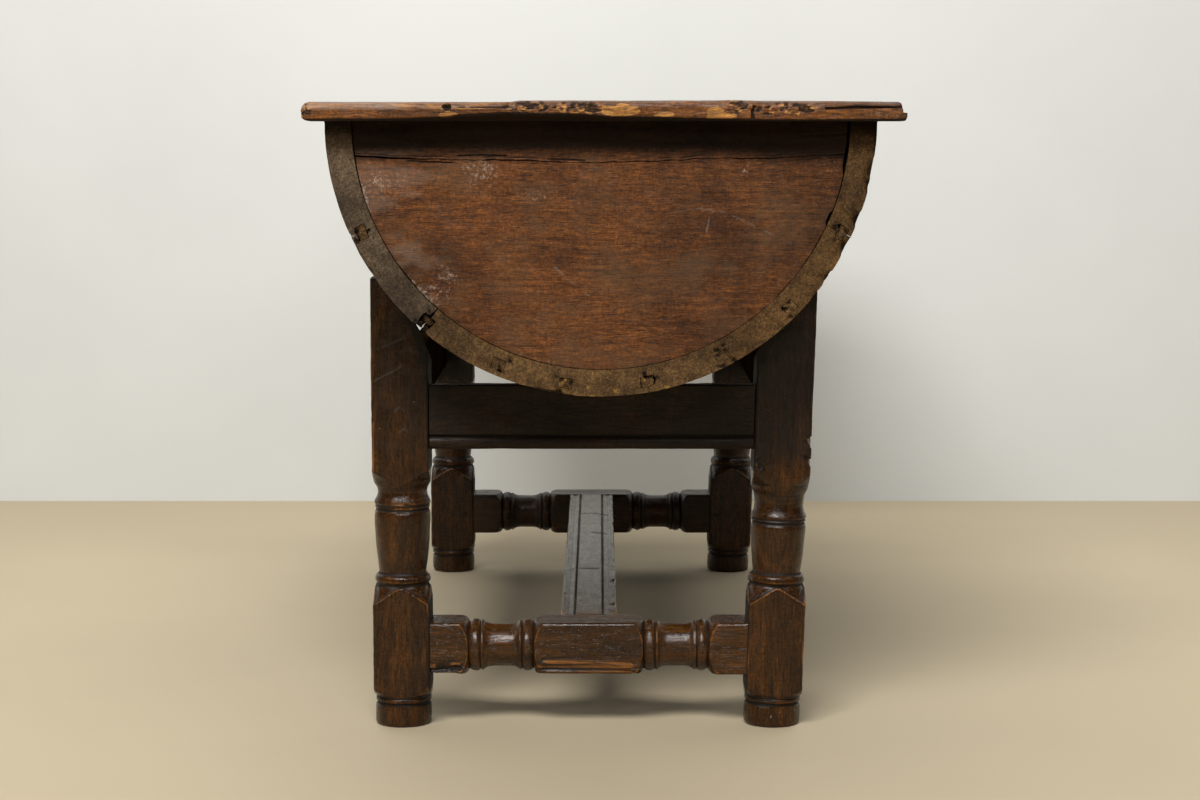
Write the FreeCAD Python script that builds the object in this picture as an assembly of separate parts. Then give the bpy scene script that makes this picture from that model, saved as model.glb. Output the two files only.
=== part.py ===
import FreeCAD, Part
import math
import os

# Dough bin table: a coopered half-round trough under a loose board lid, cradled on a joined stand
# with turned legs. Millimetres, +Z up, X across the table, Y along it. The origin is on the floor
# under the middle of the lid.

Vector = FreeCAD.Vector
X_AXIS = Vector(1, 0, 0)
Y_AXIS = Vector(0, 1, 0)
Z_AXIS = Vector(0, 0, 1)
SIDES = {"left": -1, "right": 1}
ENDS = {"front": -1, "rear": 1}

# Lid: three planks between cross-grain end clamps, with battens that drop inside the trough
TABLE_HEIGHT = 760.0
LID_LENGTH = 1550.0
LID_WIDTH = 684.0
LID_THICK = 24.0
LID_CORNER = 9.0
LID_ARRIS = 6.0
PLANK_JOINTS = (-112.0, 130.0)
CLAMP_WIDTH = 90.0
LID_TONGUE_THICK = 8.0
LID_TONGUE_DEPTH = 18.0
LID_TONGUE_STOP = 20.0
LID_PEG_RADIUS = 4.0
BATTEN_LENGTH = 540.0
BATTEN_WIDTH = 50.0
BATTEN_THICK = 28.0
BATTEN_SLOPE = 18.0
BATTEN_ALONG = 450.0

# Trough: staves round two end boards, with loose tongues in the joints and forged nails into the boards
RIM = TABLE_HEIGHT - LID_THICK
TROUGH_ACROSS = -3.0
TROUGH_LENGTH = 1470.0
TROUGH_RADIUS = 315.0
STAVE_THICK = 31.0
STAVE_JOINTS = (24.7, 48.8, 67.1, 82.3, 100.2, 117.3, 135.7, 155.3)
TONGUE_WIDTH = 16.0
TONGUE_THICK = 12.0
TONGUE_RADIUS = 302.0
END_BOARD_THICK = 28.0
END_BOARD_INSET = 3.0
END_STRIP_HEIGHT = 44.0
NAIL_SHANK = 5.0
NAIL_POINT = 2.0
NAIL_DEPTH = 38.0
NAIL_HEAD = 13.0
NAIL_CROWN = 6.0
NAIL_HEAD_HEIGHT = 2.0
NAIL_PROUD = 0.4
STRIP_NAIL_ANGLE = 4.5
TROUGH_GAP = 0.5

# Turned lengths are cut in this many flats round, which keeps the model light
TURNING_FLATS = 18

# Stand: the right-hand legs have moved outwards at the top, turning about the height of the stretchers
STAND_ACROSS = -18.0
LEG = 70.5
LEG_TOP = 549.0
LEG_OUT = 227.25
LEG_ALONG = 560.0
LEG_ARRIS = 3.0
LEG_LEAN = {"left": 0.0, "right": 1.7}
FOOT_SPARE = 2.0
CRADLE_FOOT = 445.0
CRADLE_DEPTH = {"left": 18.0, "right": 30.0}
CRADLE_RISE = {"left": 55.0, "right": 42.0}

# Stretchers
STRETCHER_HEIGHT = 97.0
STRETCHER = 64.5
STRETCHER_ARRIS = 2.5
STRETCHER_TENON = (48.0, 14.0, 40.0)
BOARD_WIDTH = 70.0
BOARD_THICK = 24.0
BOARD_ARRIS = 3.0
BOARD_TENON = (50.0, 35.0, 12.0)
QUIRK_OUT = 17.2
QUIRK_WIDTH = 2.8
QUIRK_DEPTH = 3.2
HOLLOW_OUT = 26.0
HOLLOW_RADIUS = 9.3
HOLLOW_DEPTH = 1.8

# Rails
RAIL_BOTTOM = 342.0
RAIL_TOP = RIM - TROUGH_RADIUS - TROUGH_GAP
RAIL_THICK = 26.0
END_RAIL_INSET = 3.0
SIDE_RAIL_INSET = 1.5
RAIL_TENON_LENGTH = 40.0
RAIL_TENON_SHOULDER = 10.0
END_TENON_BACK = 7.0
END_TENON_THICK = 12.0
SIDE_TENON_BACK = 6.0
SIDE_TENON_THICK = 10.0

# Pegs of the stand
PEG_RADIUS = 6.0
PEG_IN = 17.0
END_PEG_HEIGHT = 392.0
SIDE_PEG_HEIGHT = 372.0
SIDE_PEG_LENGTH = 40.0

# Worked out from the sizes above
CLAMP_SHOULDER = LID_LENGTH / 2 - CLAMP_WIDTH
STAVE_INSIDE = TROUGH_RADIUS - STAVE_THICK
END_BOARD_MIDDLE = TROUGH_LENGTH / 2 - END_BOARD_INSET - END_BOARD_THICK / 2
LEG_CORNER = LEG / math.sqrt(2) + 0.6
STRETCHER_CORNER = STRETCHER / math.sqrt(2) + 0.6
LEG_INSIDE = LEG_OUT - LEG / 2
END_RAIL_BACK = LEG_ALONG + LEG / 2 - END_RAIL_INSET - RAIL_THICK
SIDE_RAIL_BACK = LEG / 2 - SIDE_RAIL_INSET - RAIL_THICK
BOARD_TOP = STRETCHER_HEIGHT + STRETCHER / 2
BOARD_END = LEG_ALONG - STRETCHER / 2


def in_xz(x, z):
    return Vector(x, 0, z)


def outline_face(points, place):
    """The face inside a closed outline. A pair of points is an arc: through the first, to the second."""
    here = place(*points[0])
    edges = []
    for point in points[1:] + points[:1]:
        if isinstance(point[0], tuple):
            through = place(*point[0])
            end = place(*point[1])
            edges.append(Part.Arc(here, through, end).toShape())
        else:
            end = place(*point)
            edges.append(Part.LineSegment(here, end).toShape())
        here = end
    return Part.Face(Part.Wire(edges))


def block(low, high):
    """A square-cornered block between its lowest and highest corners, given in any order."""
    start = Vector(*(min(pair) for pair in zip(low, high)))
    end = Vector(*(max(pair) for pair in zip(low, high)))
    size = end - start
    return Part.makeBox(size.x, size.y, size.z, start)


def eased(shape, size, axis, wanted=None):
    """Takes off the straight edges that run along axis, or only those whose middle is wanted."""
    edges = []
    for edge in shape.Edges:
        run = edge.valueAt(edge.LastParameter) - edge.valueAt(edge.FirstParameter)
        if run.Length > 0 and abs(run.dot(axis)) > 0.999 * run.Length:
            if wanted is None or wanted(edge.CenterOfMass):
                edges.append(edge)
    return shape.makeChamfer(size, edges)


def along_x(across, up, along):
    return Vector(along, across, up)


def closed_face(points):
    return Part.Face(Part.makePolygon(points + points[:1]))


def flat_sided(rings):
    """A solid with a flat side between each edge of one ring of points and the same edge of the next."""
    faces = [closed_face(rings[0]), closed_face(rings[-1])]
    for low, high in zip(rings, rings[1:]):
        for here in range(len(low)):
            faces.append(closed_face([low[here - 1], low[here], high[here], high[here - 1]]))
    solid = Part.makeSolid(Part.makeShell(faces))
    if solid.Volume < 0:
        solid.reverse()
    return solid


def turning(profile, place):
    """A turned length: a ring of points at each radius of its profile, with straight sides between."""
    turns = [math.tau * (flat + 0.5) / TURNING_FLATS for flat in range(TURNING_FLATS)]
    rings = []
    for radius, along in profile:
        rings.append([place(radius * math.cos(turn), radius * math.sin(turn), along) for turn in turns])
    return flat_sided(rings)


def cut_by(shape, others):
    for other in others:
        shape = shape.cut(other)
    return shape


def peg(radius, length, start, direction):
    """A peg riven from straight grain and whittled to eight sides."""
    sides = 8
    aside = Z_AXIS if abs(direction.z) < direction.Length / 2 else X_AXIS
    spoke = direction.cross(aside).normalize() * radius
    turns = [FreeCAD.Rotation(direction, side * 360 / sides) for side in range(sides)]
    end = closed_face([start + turn.multVec(spoke) for turn in turns])
    return end.extrude(direction.normalize() * length)


# Stand


def on_side(shape, side):
    """Moves a shape from the frame of an upright leg to a side of the stand, leaning as its legs do."""
    placed = shape.copy()
    placed.rotate(Vector(0, 0, STRETCHER_HEIGHT), Y_AXIS, LEG_LEAN[side])
    placed.translate(Vector(STAND_ACROSS + SIDES[side] * LEG_OUT, 0, 0))
    return placed


def on_corner(shape, side, end):
    placed = on_side(shape, side)
    placed.translate(Vector(0, ENDS[end] * LEG_ALONG, 0))
    return placed


def leg_billet():
    half = LEG / 2
    return block((-half, -half, -FOOT_SPARE), (half, half, LEG_TOP))


def leg_turning(side):
    """A leg's turning, as radius and height. Where it passes the billet's corners the leg stays square."""
    lower = [
        (31.0, -FOOT_SPARE),
        (34.6, 5.0),
        (34.6, 24.5),
        (32.6, 26.0),
        (32.6, 28.0),
        (35.0, 31.0),
        (42.5, 38.0),
        (LEG_CORNER, 49.0),
        (LEG_CORNER, 151.5),
        (41.7, 160.0),
        (36.6, 168.0),
        (35.2, 174.5),
        (33.6, 176.5),
        (35.1, 179.0),
        (35.1, 183.0),
        (33.4, 186.0),
        (30.4, 187.5),
        (29.8, 191.0),
        (32.2, 212.0),
        (34.0, 236.0),
    ]
    upper = {
        "left": [
            (34.7, 257.0),
            (34.2, 264.5),
            (32.8, 266.5),
            (34.4, 269.0),
            (33.4, 271.5),
            (35.2, 275.5),
            (33.0, 280.0),
            (30.8, 288.0),
            (32.6, 294.5),
            (35.0, 298.5),
            (38.7, 306.5),
            (LEG_CORNER, 316.5),
        ],
        "right": [
            (34.5, 243.0),
            (34.0, 248.0),
            (32.6, 250.0),
            (34.4, 252.5),
            (33.2, 254.5),
            (35.0, 258.0),
            (32.4, 263.0),
            (30.8, 273.0),
            (32.0, 284.0),
            (35.0, 290.5),
            (41.5, 302.0),
            (LEG_CORNER, 322.0),
        ],
    }
    above = [(LEG_CORNER, LEG_TOP + LEG)]
    return turning(lower + upper[side] + above, Vector)


def cradle_relief(side):
    """What is cut off a leg's inner edge below the hollow, rounding away from the inner face."""
    depth = CRADLE_DEPTH[side]
    rise = CRADLE_RISE[side]
    bend = (depth**2 + rise**2) / (2 * depth)
    half_way = bend - math.sqrt(bend**2 - rise**2 / 4)
    beyond = LEG / 2 + 1

    def place(from_inside, height):
        return Vector(SIDES[side] * (from_inside - LEG / 2), -LEG, CRADLE_FOOT + height)

    profile = [
        (0, 0),
        ((half_way, rise / 2), (depth, rise)),
        (depth, LEG_TOP),
        (-beyond, LEG_TOP),
        (-beyond, 0),
    ]
    return outline_face(profile, place).extrude(Vector(0, 2 * LEG, 0))


def trough_space():
    """The round that the legs are hollowed to, with room for the trough to lift out."""
    start = Vector(TROUGH_ACROSS, -LID_LENGTH / 2, RIM)
    return Part.makeCylinder(TROUGH_RADIUS + TROUGH_GAP, LID_LENGTH, start, Y_AXIS)


def leg(side, end):
    billet = eased(leg_billet(), LEG_ARRIS, Z_AXIS)
    turned = billet.common(leg_turning(side)).cut(cradle_relief(side))
    placed = on_corner(turned, side, end)
    below_floor = block((-LID_WIDTH, -LID_LENGTH, -LEG), (LID_WIDTH, LID_LENGTH, 0))
    return cut_by(placed, [below_floor, trough_space()])


def stretcher_turning():
    """An end stretcher's turning, as radius and distance from its middle, where its two halves meet."""
    half = [
        (STRETCHER_CORNER, 52.0),
        (42.0, 60.5),
        (32.0, 66.4),
        (29.0, 67.8),
        (31.8, 71.0),
        (32.2, 75.0),
        (29.6, 81.2),
        (31.2, 83.6),
        (28.4, 86.8),
        (26.8, 95.0),
        (26.4, 106.5),
        (26.8, 118.0),
        (28.4, 126.2),
        (31.2, 129.4),
        (29.6, 131.8),
        (32.2, 138.0),
        (31.8, 142.0),
        (29.0, 145.2),
        (32.0, 146.8),
        (42.0, 152.7),
        (STRETCHER_CORNER, 161.0),
        (STRETCHER_CORNER, LEG_OUT),
    ]
    other_half = [(radius, -along) for radius, along in reversed(half)]
    return turning(other_half + half, along_x)


def end_stretcher(end):
    half = STRETCHER / 2
    billet = block((-LEG_OUT, -half, -half), (LEG_OUT, half, half))
    bar = eased(billet, STRETCHER_ARRIS, X_AXIS).common(stretcher_turning())
    bar.translate(Vector(STAND_ACROSS, ENDS[end] * LEG_ALONG, STRETCHER_HEIGHT))
    bar = cut_by(bar, [on_corner(leg_billet(), side, end) for side in SIDES])
    length, thick, height = STRETCHER_TENON
    reach = LEG_INSIDE + length
    tenons = block((-reach, -thick / 2, -height / 2), (reach, thick / 2, height / 2))
    tenons.translate(Vector(STAND_ACROSS, ENDS[end] * LEG_ALONG, STRETCHER_HEIGHT))
    return bar.fuse(tenons).removeSplitter()


def centre_stretcher():
    """The board between the end stretchers, with a quirk and a shallow hollow down each side of its face."""
    half = BOARD_WIDTH / 2
    board = block((-half, -BOARD_END, -BOARD_THICK), (half, BOARD_END, 0))
    board = eased(board, BOARD_ARRIS, Y_AXIS)
    for sign in SIDES.values():
        quirk = [
            (sign * (QUIRK_OUT - QUIRK_WIDTH / 2), 0),
            (sign * QUIRK_OUT, -QUIRK_DEPTH),
            (sign * (QUIRK_OUT + QUIRK_WIDTH / 2), 0),
        ]
        groove = outline_face(quirk, in_xz).extrude(Vector(0, 2 * BOARD_END, 0))
        groove.translate(Vector(0, -BOARD_END, 0))
        start = Vector(sign * HOLLOW_OUT, -BOARD_END, HOLLOW_RADIUS - HOLLOW_DEPTH)
        hollow = Part.makeCylinder(HOLLOW_RADIUS, 2 * BOARD_END, start, Y_AXIS)
        board = cut_by(board, [groove, hollow])
    width, length, thick = BOARD_TENON
    reach = BOARD_END + length
    middle = -BOARD_THICK / 2
    tenons = block((-width / 2, -reach, middle - thick / 2), (width / 2, reach, middle + thick / 2))
    board = board.fuse(tenons).removeSplitter()
    board.translate(Vector(STAND_ACROSS, 0, BOARD_TOP))
    return board


def rail_section(place):
    """A rail's section, as distance out from its back and height, with a quirked ovolo at its lower edge."""
    face = RAIL_THICK
    profile = [
        (0, RAIL_BOTTOM),
        (face - 5.0, RAIL_BOTTOM),
        (face - 3.4, RAIL_BOTTOM + 1.8),
        ((face - 0.2, RAIL_BOTTOM + 8.0), (face - 2.6, RAIL_BOTTOM + 14.6)),
        (face - 3.2, RAIL_BOTTOM + 15.2),
        (face - 3.2, RAIL_BOTTOM + 16.8),
        (face, RAIL_BOTTOM + 18.0),
        (face, RAIL_TOP - 1.5),
        (face - 1.5, RAIL_TOP),
        (0, RAIL_TOP),
    ]
    return outline_face(profile, place)


def end_rail(end):
    sign = ENDS[end]

    def place(out, height):
        return Vector(STAND_ACROSS - LEG_OUT, sign * (END_RAIL_BACK + out), height)

    board = rail_section(place).extrude(Vector(2 * LEG_OUT, 0, 0))
    board = cut_by(board, [on_corner(leg_billet(), side, end) for side in SIDES])
    back = sign * (END_RAIL_BACK + END_TENON_BACK)
    front = back + sign * END_TENON_THICK
    low = RAIL_BOTTOM + RAIL_TENON_SHOULDER
    high = RAIL_TOP - RAIL_TENON_SHOULDER
    reach = LEG_INSIDE + RAIL_TENON_LENGTH
    tenons = block((STAND_ACROSS - reach, back, low), (STAND_ACROSS + reach, front, high))
    return board.fuse(tenons).removeSplitter()


def side_rail(side):
    """Made in the frame of its side's legs, so that it leans with them."""
    sign = SIDES[side]
    shoulder = LEG_ALONG - LEG / 2

    def place(out, height):
        return Vector(sign * (SIDE_RAIL_BACK + out), -shoulder, height)

    board = rail_section(place).extrude(Vector(0, 2 * shoulder, 0))
    back = sign * (SIDE_RAIL_BACK + SIDE_TENON_BACK)
    front = back + sign * SIDE_TENON_THICK
    low = RAIL_BOTTOM + RAIL_TENON_SHOULDER
    high = RAIL_TOP - RAIL_TENON_SHOULDER
    reach = shoulder + RAIL_TENON_LENGTH
    tenons = block((back, -reach, low), (front, reach, high))
    return on_side(board.fuse(tenons).removeSplitter(), side)


def corner_peg(side, end, height):
    """A peg from front to back through a leg and the tenon of the piece that crosses the table's end."""
    start = Vector(-SIDES[side] * (LEG / 2 - PEG_IN), -LEG / 2, height)
    return on_corner(peg(PEG_RADIUS, LEG, start, Y_AXIS), side, end)


def side_peg(side, end):
    """A peg from a leg's outer side into the tenon of the side rail, stopping inside the leg."""
    start = Vector(SIDES[side] * LEG / 2, -ENDS[end] * (LEG / 2 - PEG_IN), SIDE_PEG_HEIGHT)
    return on_corner(peg(PEG_RADIUS, SIDE_PEG_LENGTH, start, X_AXIS * -SIDES[side]), side, end)


def stand():
    corners = [(side, end) for end in ENDS for side in SIDES]
    stretcher_pegs = [corner_peg(side, end, STRETCHER_HEIGHT) for side, end in corners]
    rail_pegs = [corner_peg(side, end, END_PEG_HEIGHT) for side, end in corners]
    rail_pegs += [side_peg(side, end) for side, end in corners]
    board = centre_stretcher()
    pieces = {"centre_stretcher": board}
    for end in ENDS:
        pieces[f"end_rail_{end}"] = cut_by(end_rail(end), rail_pegs)
        pieces[f"end_stretcher_{end}"] = cut_by(end_stretcher(end), [board] + stretcher_pegs)
    for side in SIDES:
        pieces[f"side_rail_{side}"] = cut_by(side_rail(side), rail_pegs)
    for side, end in corners:
        tenoned = [pieces[f"end_rail_{end}"], pieces[f"end_stretcher_{end}"], pieces[f"side_rail_{side}"]]
        pieces[f"leg_{end}_{side}"] = cut_by(leg(side, end), tenoned + rail_pegs + stretcher_pegs)
    pieces["rail_pegs"] = Part.makeCompound(rail_pegs)
    pieces["stretcher_pegs"] = Part.makeCompound(stretcher_pegs)
    return pieces


# Trough


def round_trough(radius, angle):
    """A point of the trough's section: angle is in degrees, down from the left rim and on to the right."""
    turn = math.radians(angle)
    return TROUGH_ACROSS - radius * math.cos(turn), RIM - radius * math.sin(turn)


def along_trough(face, middle, length):
    solid = face.extrude(Vector(0, length, 0))
    solid.translate(Vector(0, middle - length / 2, 0))
    return solid


def stave(start, end):
    middle = (start + end) / 2
    profile = [
        round_trough(TROUGH_RADIUS, start),
        (round_trough(TROUGH_RADIUS, middle), round_trough(TROUGH_RADIUS, end)),
        round_trough(STAVE_INSIDE, end),
        (round_trough(STAVE_INSIDE, middle), round_trough(STAVE_INSIDE, start)),
    ]
    return along_trough(outline_face(profile, in_xz), 0, TROUGH_LENGTH)


def stave_tongue(angle):
    half_turn = math.degrees(TONGUE_WIDTH / 2 / TONGUE_RADIUS)
    inside = TONGUE_RADIUS - TONGUE_THICK / 2
    outside = TONGUE_RADIUS + TONGUE_THICK / 2
    profile = [
        round_trough(inside, angle - half_turn),
        round_trough(inside, angle + half_turn),
        round_trough(outside, angle + half_turn),
        round_trough(outside, angle - half_turn),
    ]
    return along_trough(outline_face(profile, in_xz), 0, TROUGH_LENGTH)


def end_board(end):
    """The half-round end, as its main board and the strip along its top."""
    profile = [
        round_trough(STAVE_INSIDE, 0),
        (round_trough(STAVE_INSIDE, 90), round_trough(STAVE_INSIDE, 180)),
    ]
    half_round = along_trough(outline_face(profile, in_xz), ENDS[end] * END_BOARD_MIDDLE, END_BOARD_THICK)
    joint = RIM - END_STRIP_HEIGHT
    above = block((-LID_WIDTH, -LID_LENGTH, joint), (LID_WIDTH, LID_LENGTH, RIM))
    return half_round.cut(above), half_round.common(above)


def stave_nail(angle, end):
    """A forged nail driven flush through a stave: a tapering square shank under a four-sided head."""

    def place(radius):
        x, z = round_trough(radius, angle)
        return Vector(x, ENDS[end] * END_BOARD_MIDDLE, z)

    def square(size, radius):
        across = (place(radius) - place(0)).cross(Y_AXIS).normalize() * size / 2
        along = Y_AXIS * size / 2
        corners = [(1, 1), (1, -1), (-1, -1), (-1, 1)]
        return [place(radius) + across * turn + along * run for turn, run in corners]

    crown = TROUGH_RADIUS + NAIL_PROUD
    rings = [
        square(NAIL_POINT, STAVE_INSIDE - NAIL_DEPTH),
        square(NAIL_SHANK, crown - NAIL_HEAD_HEIGHT),
        square(NAIL_HEAD, crown - NAIL_HEAD_HEIGHT),
        square(NAIL_CROWN, crown),
    ]
    return flat_sided(rings)


def trough():
    edges = (0.0,) + STAVE_JOINTS + (180.0,)
    spans = list(zip(edges, edges[1:]))
    tongues = [stave_tongue(angle) for angle in STAVE_JOINTS]
    nail_angles = [(start + end) / 2 for start, end in spans]
    nail_angles += [STRIP_NAIL_ANGLE, 180 - STRIP_NAIL_ANGLE]
    pieces = {}
    for number, (start, end) in enumerate(spans, 1):
        pieces[f"stave_{number}"] = cut_by(stave(start, end), tongues)
    for end in ENDS:
        pieces[f"end_board_{end}"], pieces[f"end_board_{end}_top"] = end_board(end)
    pieces["stave_tongues"] = Part.makeCompound(tongues)
    nails = [stave_nail(angle, end) for angle in nail_angles for end in ENDS]
    pieces["stave_nails"] = Part.makeCompound(nails)
    return pieces


# Lid


def lid_plank(start, end):
    """A plank between the clamps, with a tongue on each end that stops short of the lid's sides."""
    side = LID_WIDTH / 2
    plank = block((start, -CLAMP_SHOULDER, RIM), (end, CLAMP_SHOULDER, TABLE_HEIGHT))
    outer_edge = (start == -side, end == side)
    if any(outer_edge):
        plank = eased(plank, LID_ARRIS, Y_AXIS, lambda middle: abs(middle.x) > side - LID_ARRIS)
    left = start + LID_TONGUE_STOP * outer_edge[0]
    right = end - LID_TONGUE_STOP * outer_edge[1]
    reach = CLAMP_SHOULDER + LID_TONGUE_DEPTH
    low = RIM + (LID_THICK - LID_TONGUE_THICK) / 2
    tongues = block((left, -reach, low), (right, reach, low + LID_TONGUE_THICK))
    return plank.fuse(tongues).removeSplitter()


def lid_clamp(end):
    """The cross-grain board at a lid's end, with its corners taken off and its outer edges eased."""
    side = LID_WIDTH / 2
    sign = ENDS[end]
    clamp = block((-side, sign * CLAMP_SHOULDER, RIM), (side, sign * LID_LENGTH / 2, TABLE_HEIGHT))
    clamp = eased(clamp, LID_CORNER, Z_AXIS, is_outside_clamp)
    rims = [edge for edge in clamp.Edges if is_outside_clamp(edge.CenterOfMass) and edge.BoundBox.ZLength < 1]
    return clamp.makeChamfer(LID_ARRIS, rims)


def is_outside_clamp(point):
    """True for a point on a clamp that isn't along its shoulder."""
    return abs(point.y) > CLAMP_SHOULDER + LID_ARRIS


def lid_batten(end):
    """A batten with sloping ends that lies under the lid, inside the trough."""
    half = BATTEN_LENGTH / 2
    profile = [
        (TROUGH_ACROSS - half, RIM),
        (TROUGH_ACROSS - half + BATTEN_SLOPE, RIM - BATTEN_THICK),
        (TROUGH_ACROSS + half - BATTEN_SLOPE, RIM - BATTEN_THICK),
        (TROUGH_ACROSS + half, RIM),
    ]
    return along_trough(outline_face(profile, in_xz), ENDS[end] * BATTEN_ALONG, BATTEN_WIDTH)


def lid():
    edges = (-LID_WIDTH / 2,) + PLANK_JOINTS + (LID_WIDTH / 2,)
    spans = list(zip(edges, edges[1:]))
    end_pegs = []
    batten_pegs = []
    for start, stop in spans:
        middle = (start + stop) / 2
        for sign in ENDS.values():
            along = sign * (CLAMP_SHOULDER + LID_TONGUE_DEPTH / 2)
            end_pegs.append(peg(LID_PEG_RADIUS, LID_THICK, Vector(middle, along, RIM), Z_AXIS))
            low = Vector(middle, sign * BATTEN_ALONG, RIM - BATTEN_THICK)
            batten_pegs.append(peg(LID_PEG_RADIUS, LID_THICK + BATTEN_THICK, low, Z_AXIS))
    planks = [lid_plank(start, stop) for start, stop in spans]
    pieces = {}
    for name, plank in zip(("left", "middle", "right"), planks):
        pieces[f"lid_plank_{name}"] = cut_by(plank, end_pegs + batten_pegs)
    for end in ENDS:
        pieces[f"lid_end_{end}"] = cut_by(lid_clamp(end), planks + end_pegs)
        pieces[f"lid_batten_{end}"] = cut_by(lid_batten(end), batten_pegs)
    pieces["lid_end_pegs"] = Part.makeCompound(end_pegs)
    pieces["batten_pegs"] = Part.makeCompound(batten_pegs)
    return pieces


def main():
    os.makedirs("parts", exist_ok=True)
    for pieces in (stand(), trough(), lid()):
        for name, shape in pieces.items():
            shape.exportStep(f"parts/{name}.step")


main()
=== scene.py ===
import math
from collections import namedtuple
from itertools import product

import bmesh
import bpy
import numpy as np
from mathutils import Matrix, Vector


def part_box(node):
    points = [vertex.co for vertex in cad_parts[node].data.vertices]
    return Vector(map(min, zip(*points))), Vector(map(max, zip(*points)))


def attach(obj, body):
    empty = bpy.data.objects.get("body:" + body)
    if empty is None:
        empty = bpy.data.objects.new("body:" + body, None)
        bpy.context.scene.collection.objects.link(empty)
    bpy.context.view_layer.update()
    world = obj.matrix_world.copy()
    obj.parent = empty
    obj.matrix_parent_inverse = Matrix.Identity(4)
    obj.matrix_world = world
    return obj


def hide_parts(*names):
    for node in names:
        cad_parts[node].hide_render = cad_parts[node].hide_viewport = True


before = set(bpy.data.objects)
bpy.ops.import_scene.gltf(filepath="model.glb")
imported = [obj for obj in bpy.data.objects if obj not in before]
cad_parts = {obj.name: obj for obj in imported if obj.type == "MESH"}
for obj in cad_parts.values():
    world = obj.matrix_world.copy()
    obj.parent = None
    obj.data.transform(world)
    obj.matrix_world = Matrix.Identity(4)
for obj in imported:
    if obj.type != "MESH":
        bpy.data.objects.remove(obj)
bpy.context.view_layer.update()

# Dough bin table. Pieces are shaped in millimetres, with the same sizes as the solids that they stand for,
# and scaled to metres when they are done.
MM = 0.001
SIDES = {"left": -1, "right": 1}
ENDS = {"front": -1, "rear": 1}

TABLE_HEIGHT = 760.0
LID_THICK = 24.0
LID_HALF_WIDTH = 342.0
LID_HALF_LENGTH = 775.0
CLAMP_SHOULDER = 685.0
PLANK_EDGES = (-342.0, -112.0, 130.0, 342.0)
BATTEN_ALONG = 450.0
BATTEN_HALF = 270.0
BATTEN_THICK = 28.0
BATTEN_SPLAY = 18.0
BATTEN_WIDTH = 50.0

RIM = 736.0
LID_MIDDLE = RIM + LID_THICK / 2
TROUGH_ACROSS = -3.0
TROUGH_HALF_LENGTH = 735.0
TROUGH_RADIUS = 315.0
STAVE_INSIDE = 284.0
STAVE_EDGES = (0.0, 24.7, 48.8, 67.1, 82.3, 100.2, 117.3, 135.7, 155.3, 180.0)
TONGUE_LOW = 296.0
TONGUE_HIGH = 308.0
TONGUE_HALF_TURN = 1.518
TONGUE_SLACK = 0.3
TONGUE_SLACK_TURN = 0.06
END_BOARD_OUT = 732.0
END_BOARD_THICK = 28.0
END_STRIP_HEIGHT = 44.0
NAIL_ALONG = 718.0

STAND_ACROSS = -18.0
LEG = 70.5
LEG_TOP = 549.0
LEG_OUT = 227.25
LEG_ALONG = 560.0
LEG_ARRIS = 26.0
LEG_LEAN = {"left": 0.0, "right": 1.7}
LEAN_AT_RAIL = 8.0
CRADLE_FOOT = 445.0
CRADLE_DEPTH = {"left": 18.0, "right": 30.0}
CRADLE_RISE = {"left": 55.0, "right": 42.0}
CRADLE_RADIUS = 315.5
CRADLE_SLANT = 8.0
STRETCHER_HEIGHT = 97.0
STRETCHER = 64.5
STRETCHER_ARRIS = 24.0
RAIL_BOTTOM = 342.0
RAIL_TOP = 420.5
RAIL_THICK = 26.0
END_RAIL_BACK = 566.25
SIDE_RAIL_BACK = 7.75
BOARD_TOP = 129.25
BOARD_END = 527.75
PEG_IN = 17.0
RAIL_PEG_HEIGHT = 392.0
SIDE_PEG_HEIGHT = 372.0
PEG_RADIUS = 6.0
LID_PEG_RADIUS = 4.0

ALONG_TABLE = Vector((0, 1, 0))
ANY_LENGTH = 2000.0
CROWDED_CORNERS = 0.17
CREASE = 38.0
LATTICE = np.random.default_rng(1641).uniform(-1.0, 1.0, (48, 48, 48))


# Noise and marks, all on arrays of points in millimetres


def drift(points, size):
    """Smooth noise between -1 and 1 with lumps of about size, or of one size along each axis."""
    spot = points / np.asarray(size, dtype=float)
    cell = np.floor(spot).astype(int)
    part = spot - cell
    part = part * part * (3 - 2 * part)
    total = np.zeros(len(points))
    for corner in product((0, 1), repeat=3):
        weight = np.prod(np.where(corner, part, 1 - part), axis=1)
        x, y, z = ((cell + corner) % len(LATTICE)).T
        total += weight * LATTICE[x, y, z]
    return total


def rough(points, size, layers=3):
    """Drift with finer layers over it, each half as large and half as strong as the last."""
    total = np.zeros(len(points))
    for layer in range(layers):
        finer = np.asarray(size, dtype=float) / 2**layer
        total += drift(points + 131.0 * layer, finer) / 2**layer
    return total


def ease(low, high, value):
    part = np.clip((value - low) / (high - low), 0.0, 1.0)
    return part * part * (3 - 2 * part)


def patch(points, centre, size):
    """1 in the middle of a soft-edged patch, falling to 0 at about size from it along each axis."""
    away = (points - np.asarray(centre, dtype=float)) / np.asarray(size, dtype=float)
    return np.clip(1.0 - (away**2).sum(axis=1), 0.0, 1.0)


def off_line(points, line):
    """Each point's distance from a line of (x, z) points, seen from the front."""
    flat = points[:, (0, 2)]
    nearest = np.full(len(points), 1e9)
    for start, end in zip(line, line[1:]):
        start = np.asarray(start, dtype=float)
        run = np.asarray(end, dtype=float) - start
        part = np.clip(((flat - start) @ run) / (run @ run), 0.0, 1.0)
        away = flat - start - part[:, None] * run
        nearest = np.minimum(nearest, np.hypot(away[:, 0], away[:, 1]))
    return nearest


def on_lines(points, lines, outer, inner):
    """1 within inner of the nearest of some lines, falling to 0 at outer from it."""
    return np.maximum.reduce([ease(outer, inner, off_line(points, line)) for line in lines])


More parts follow.
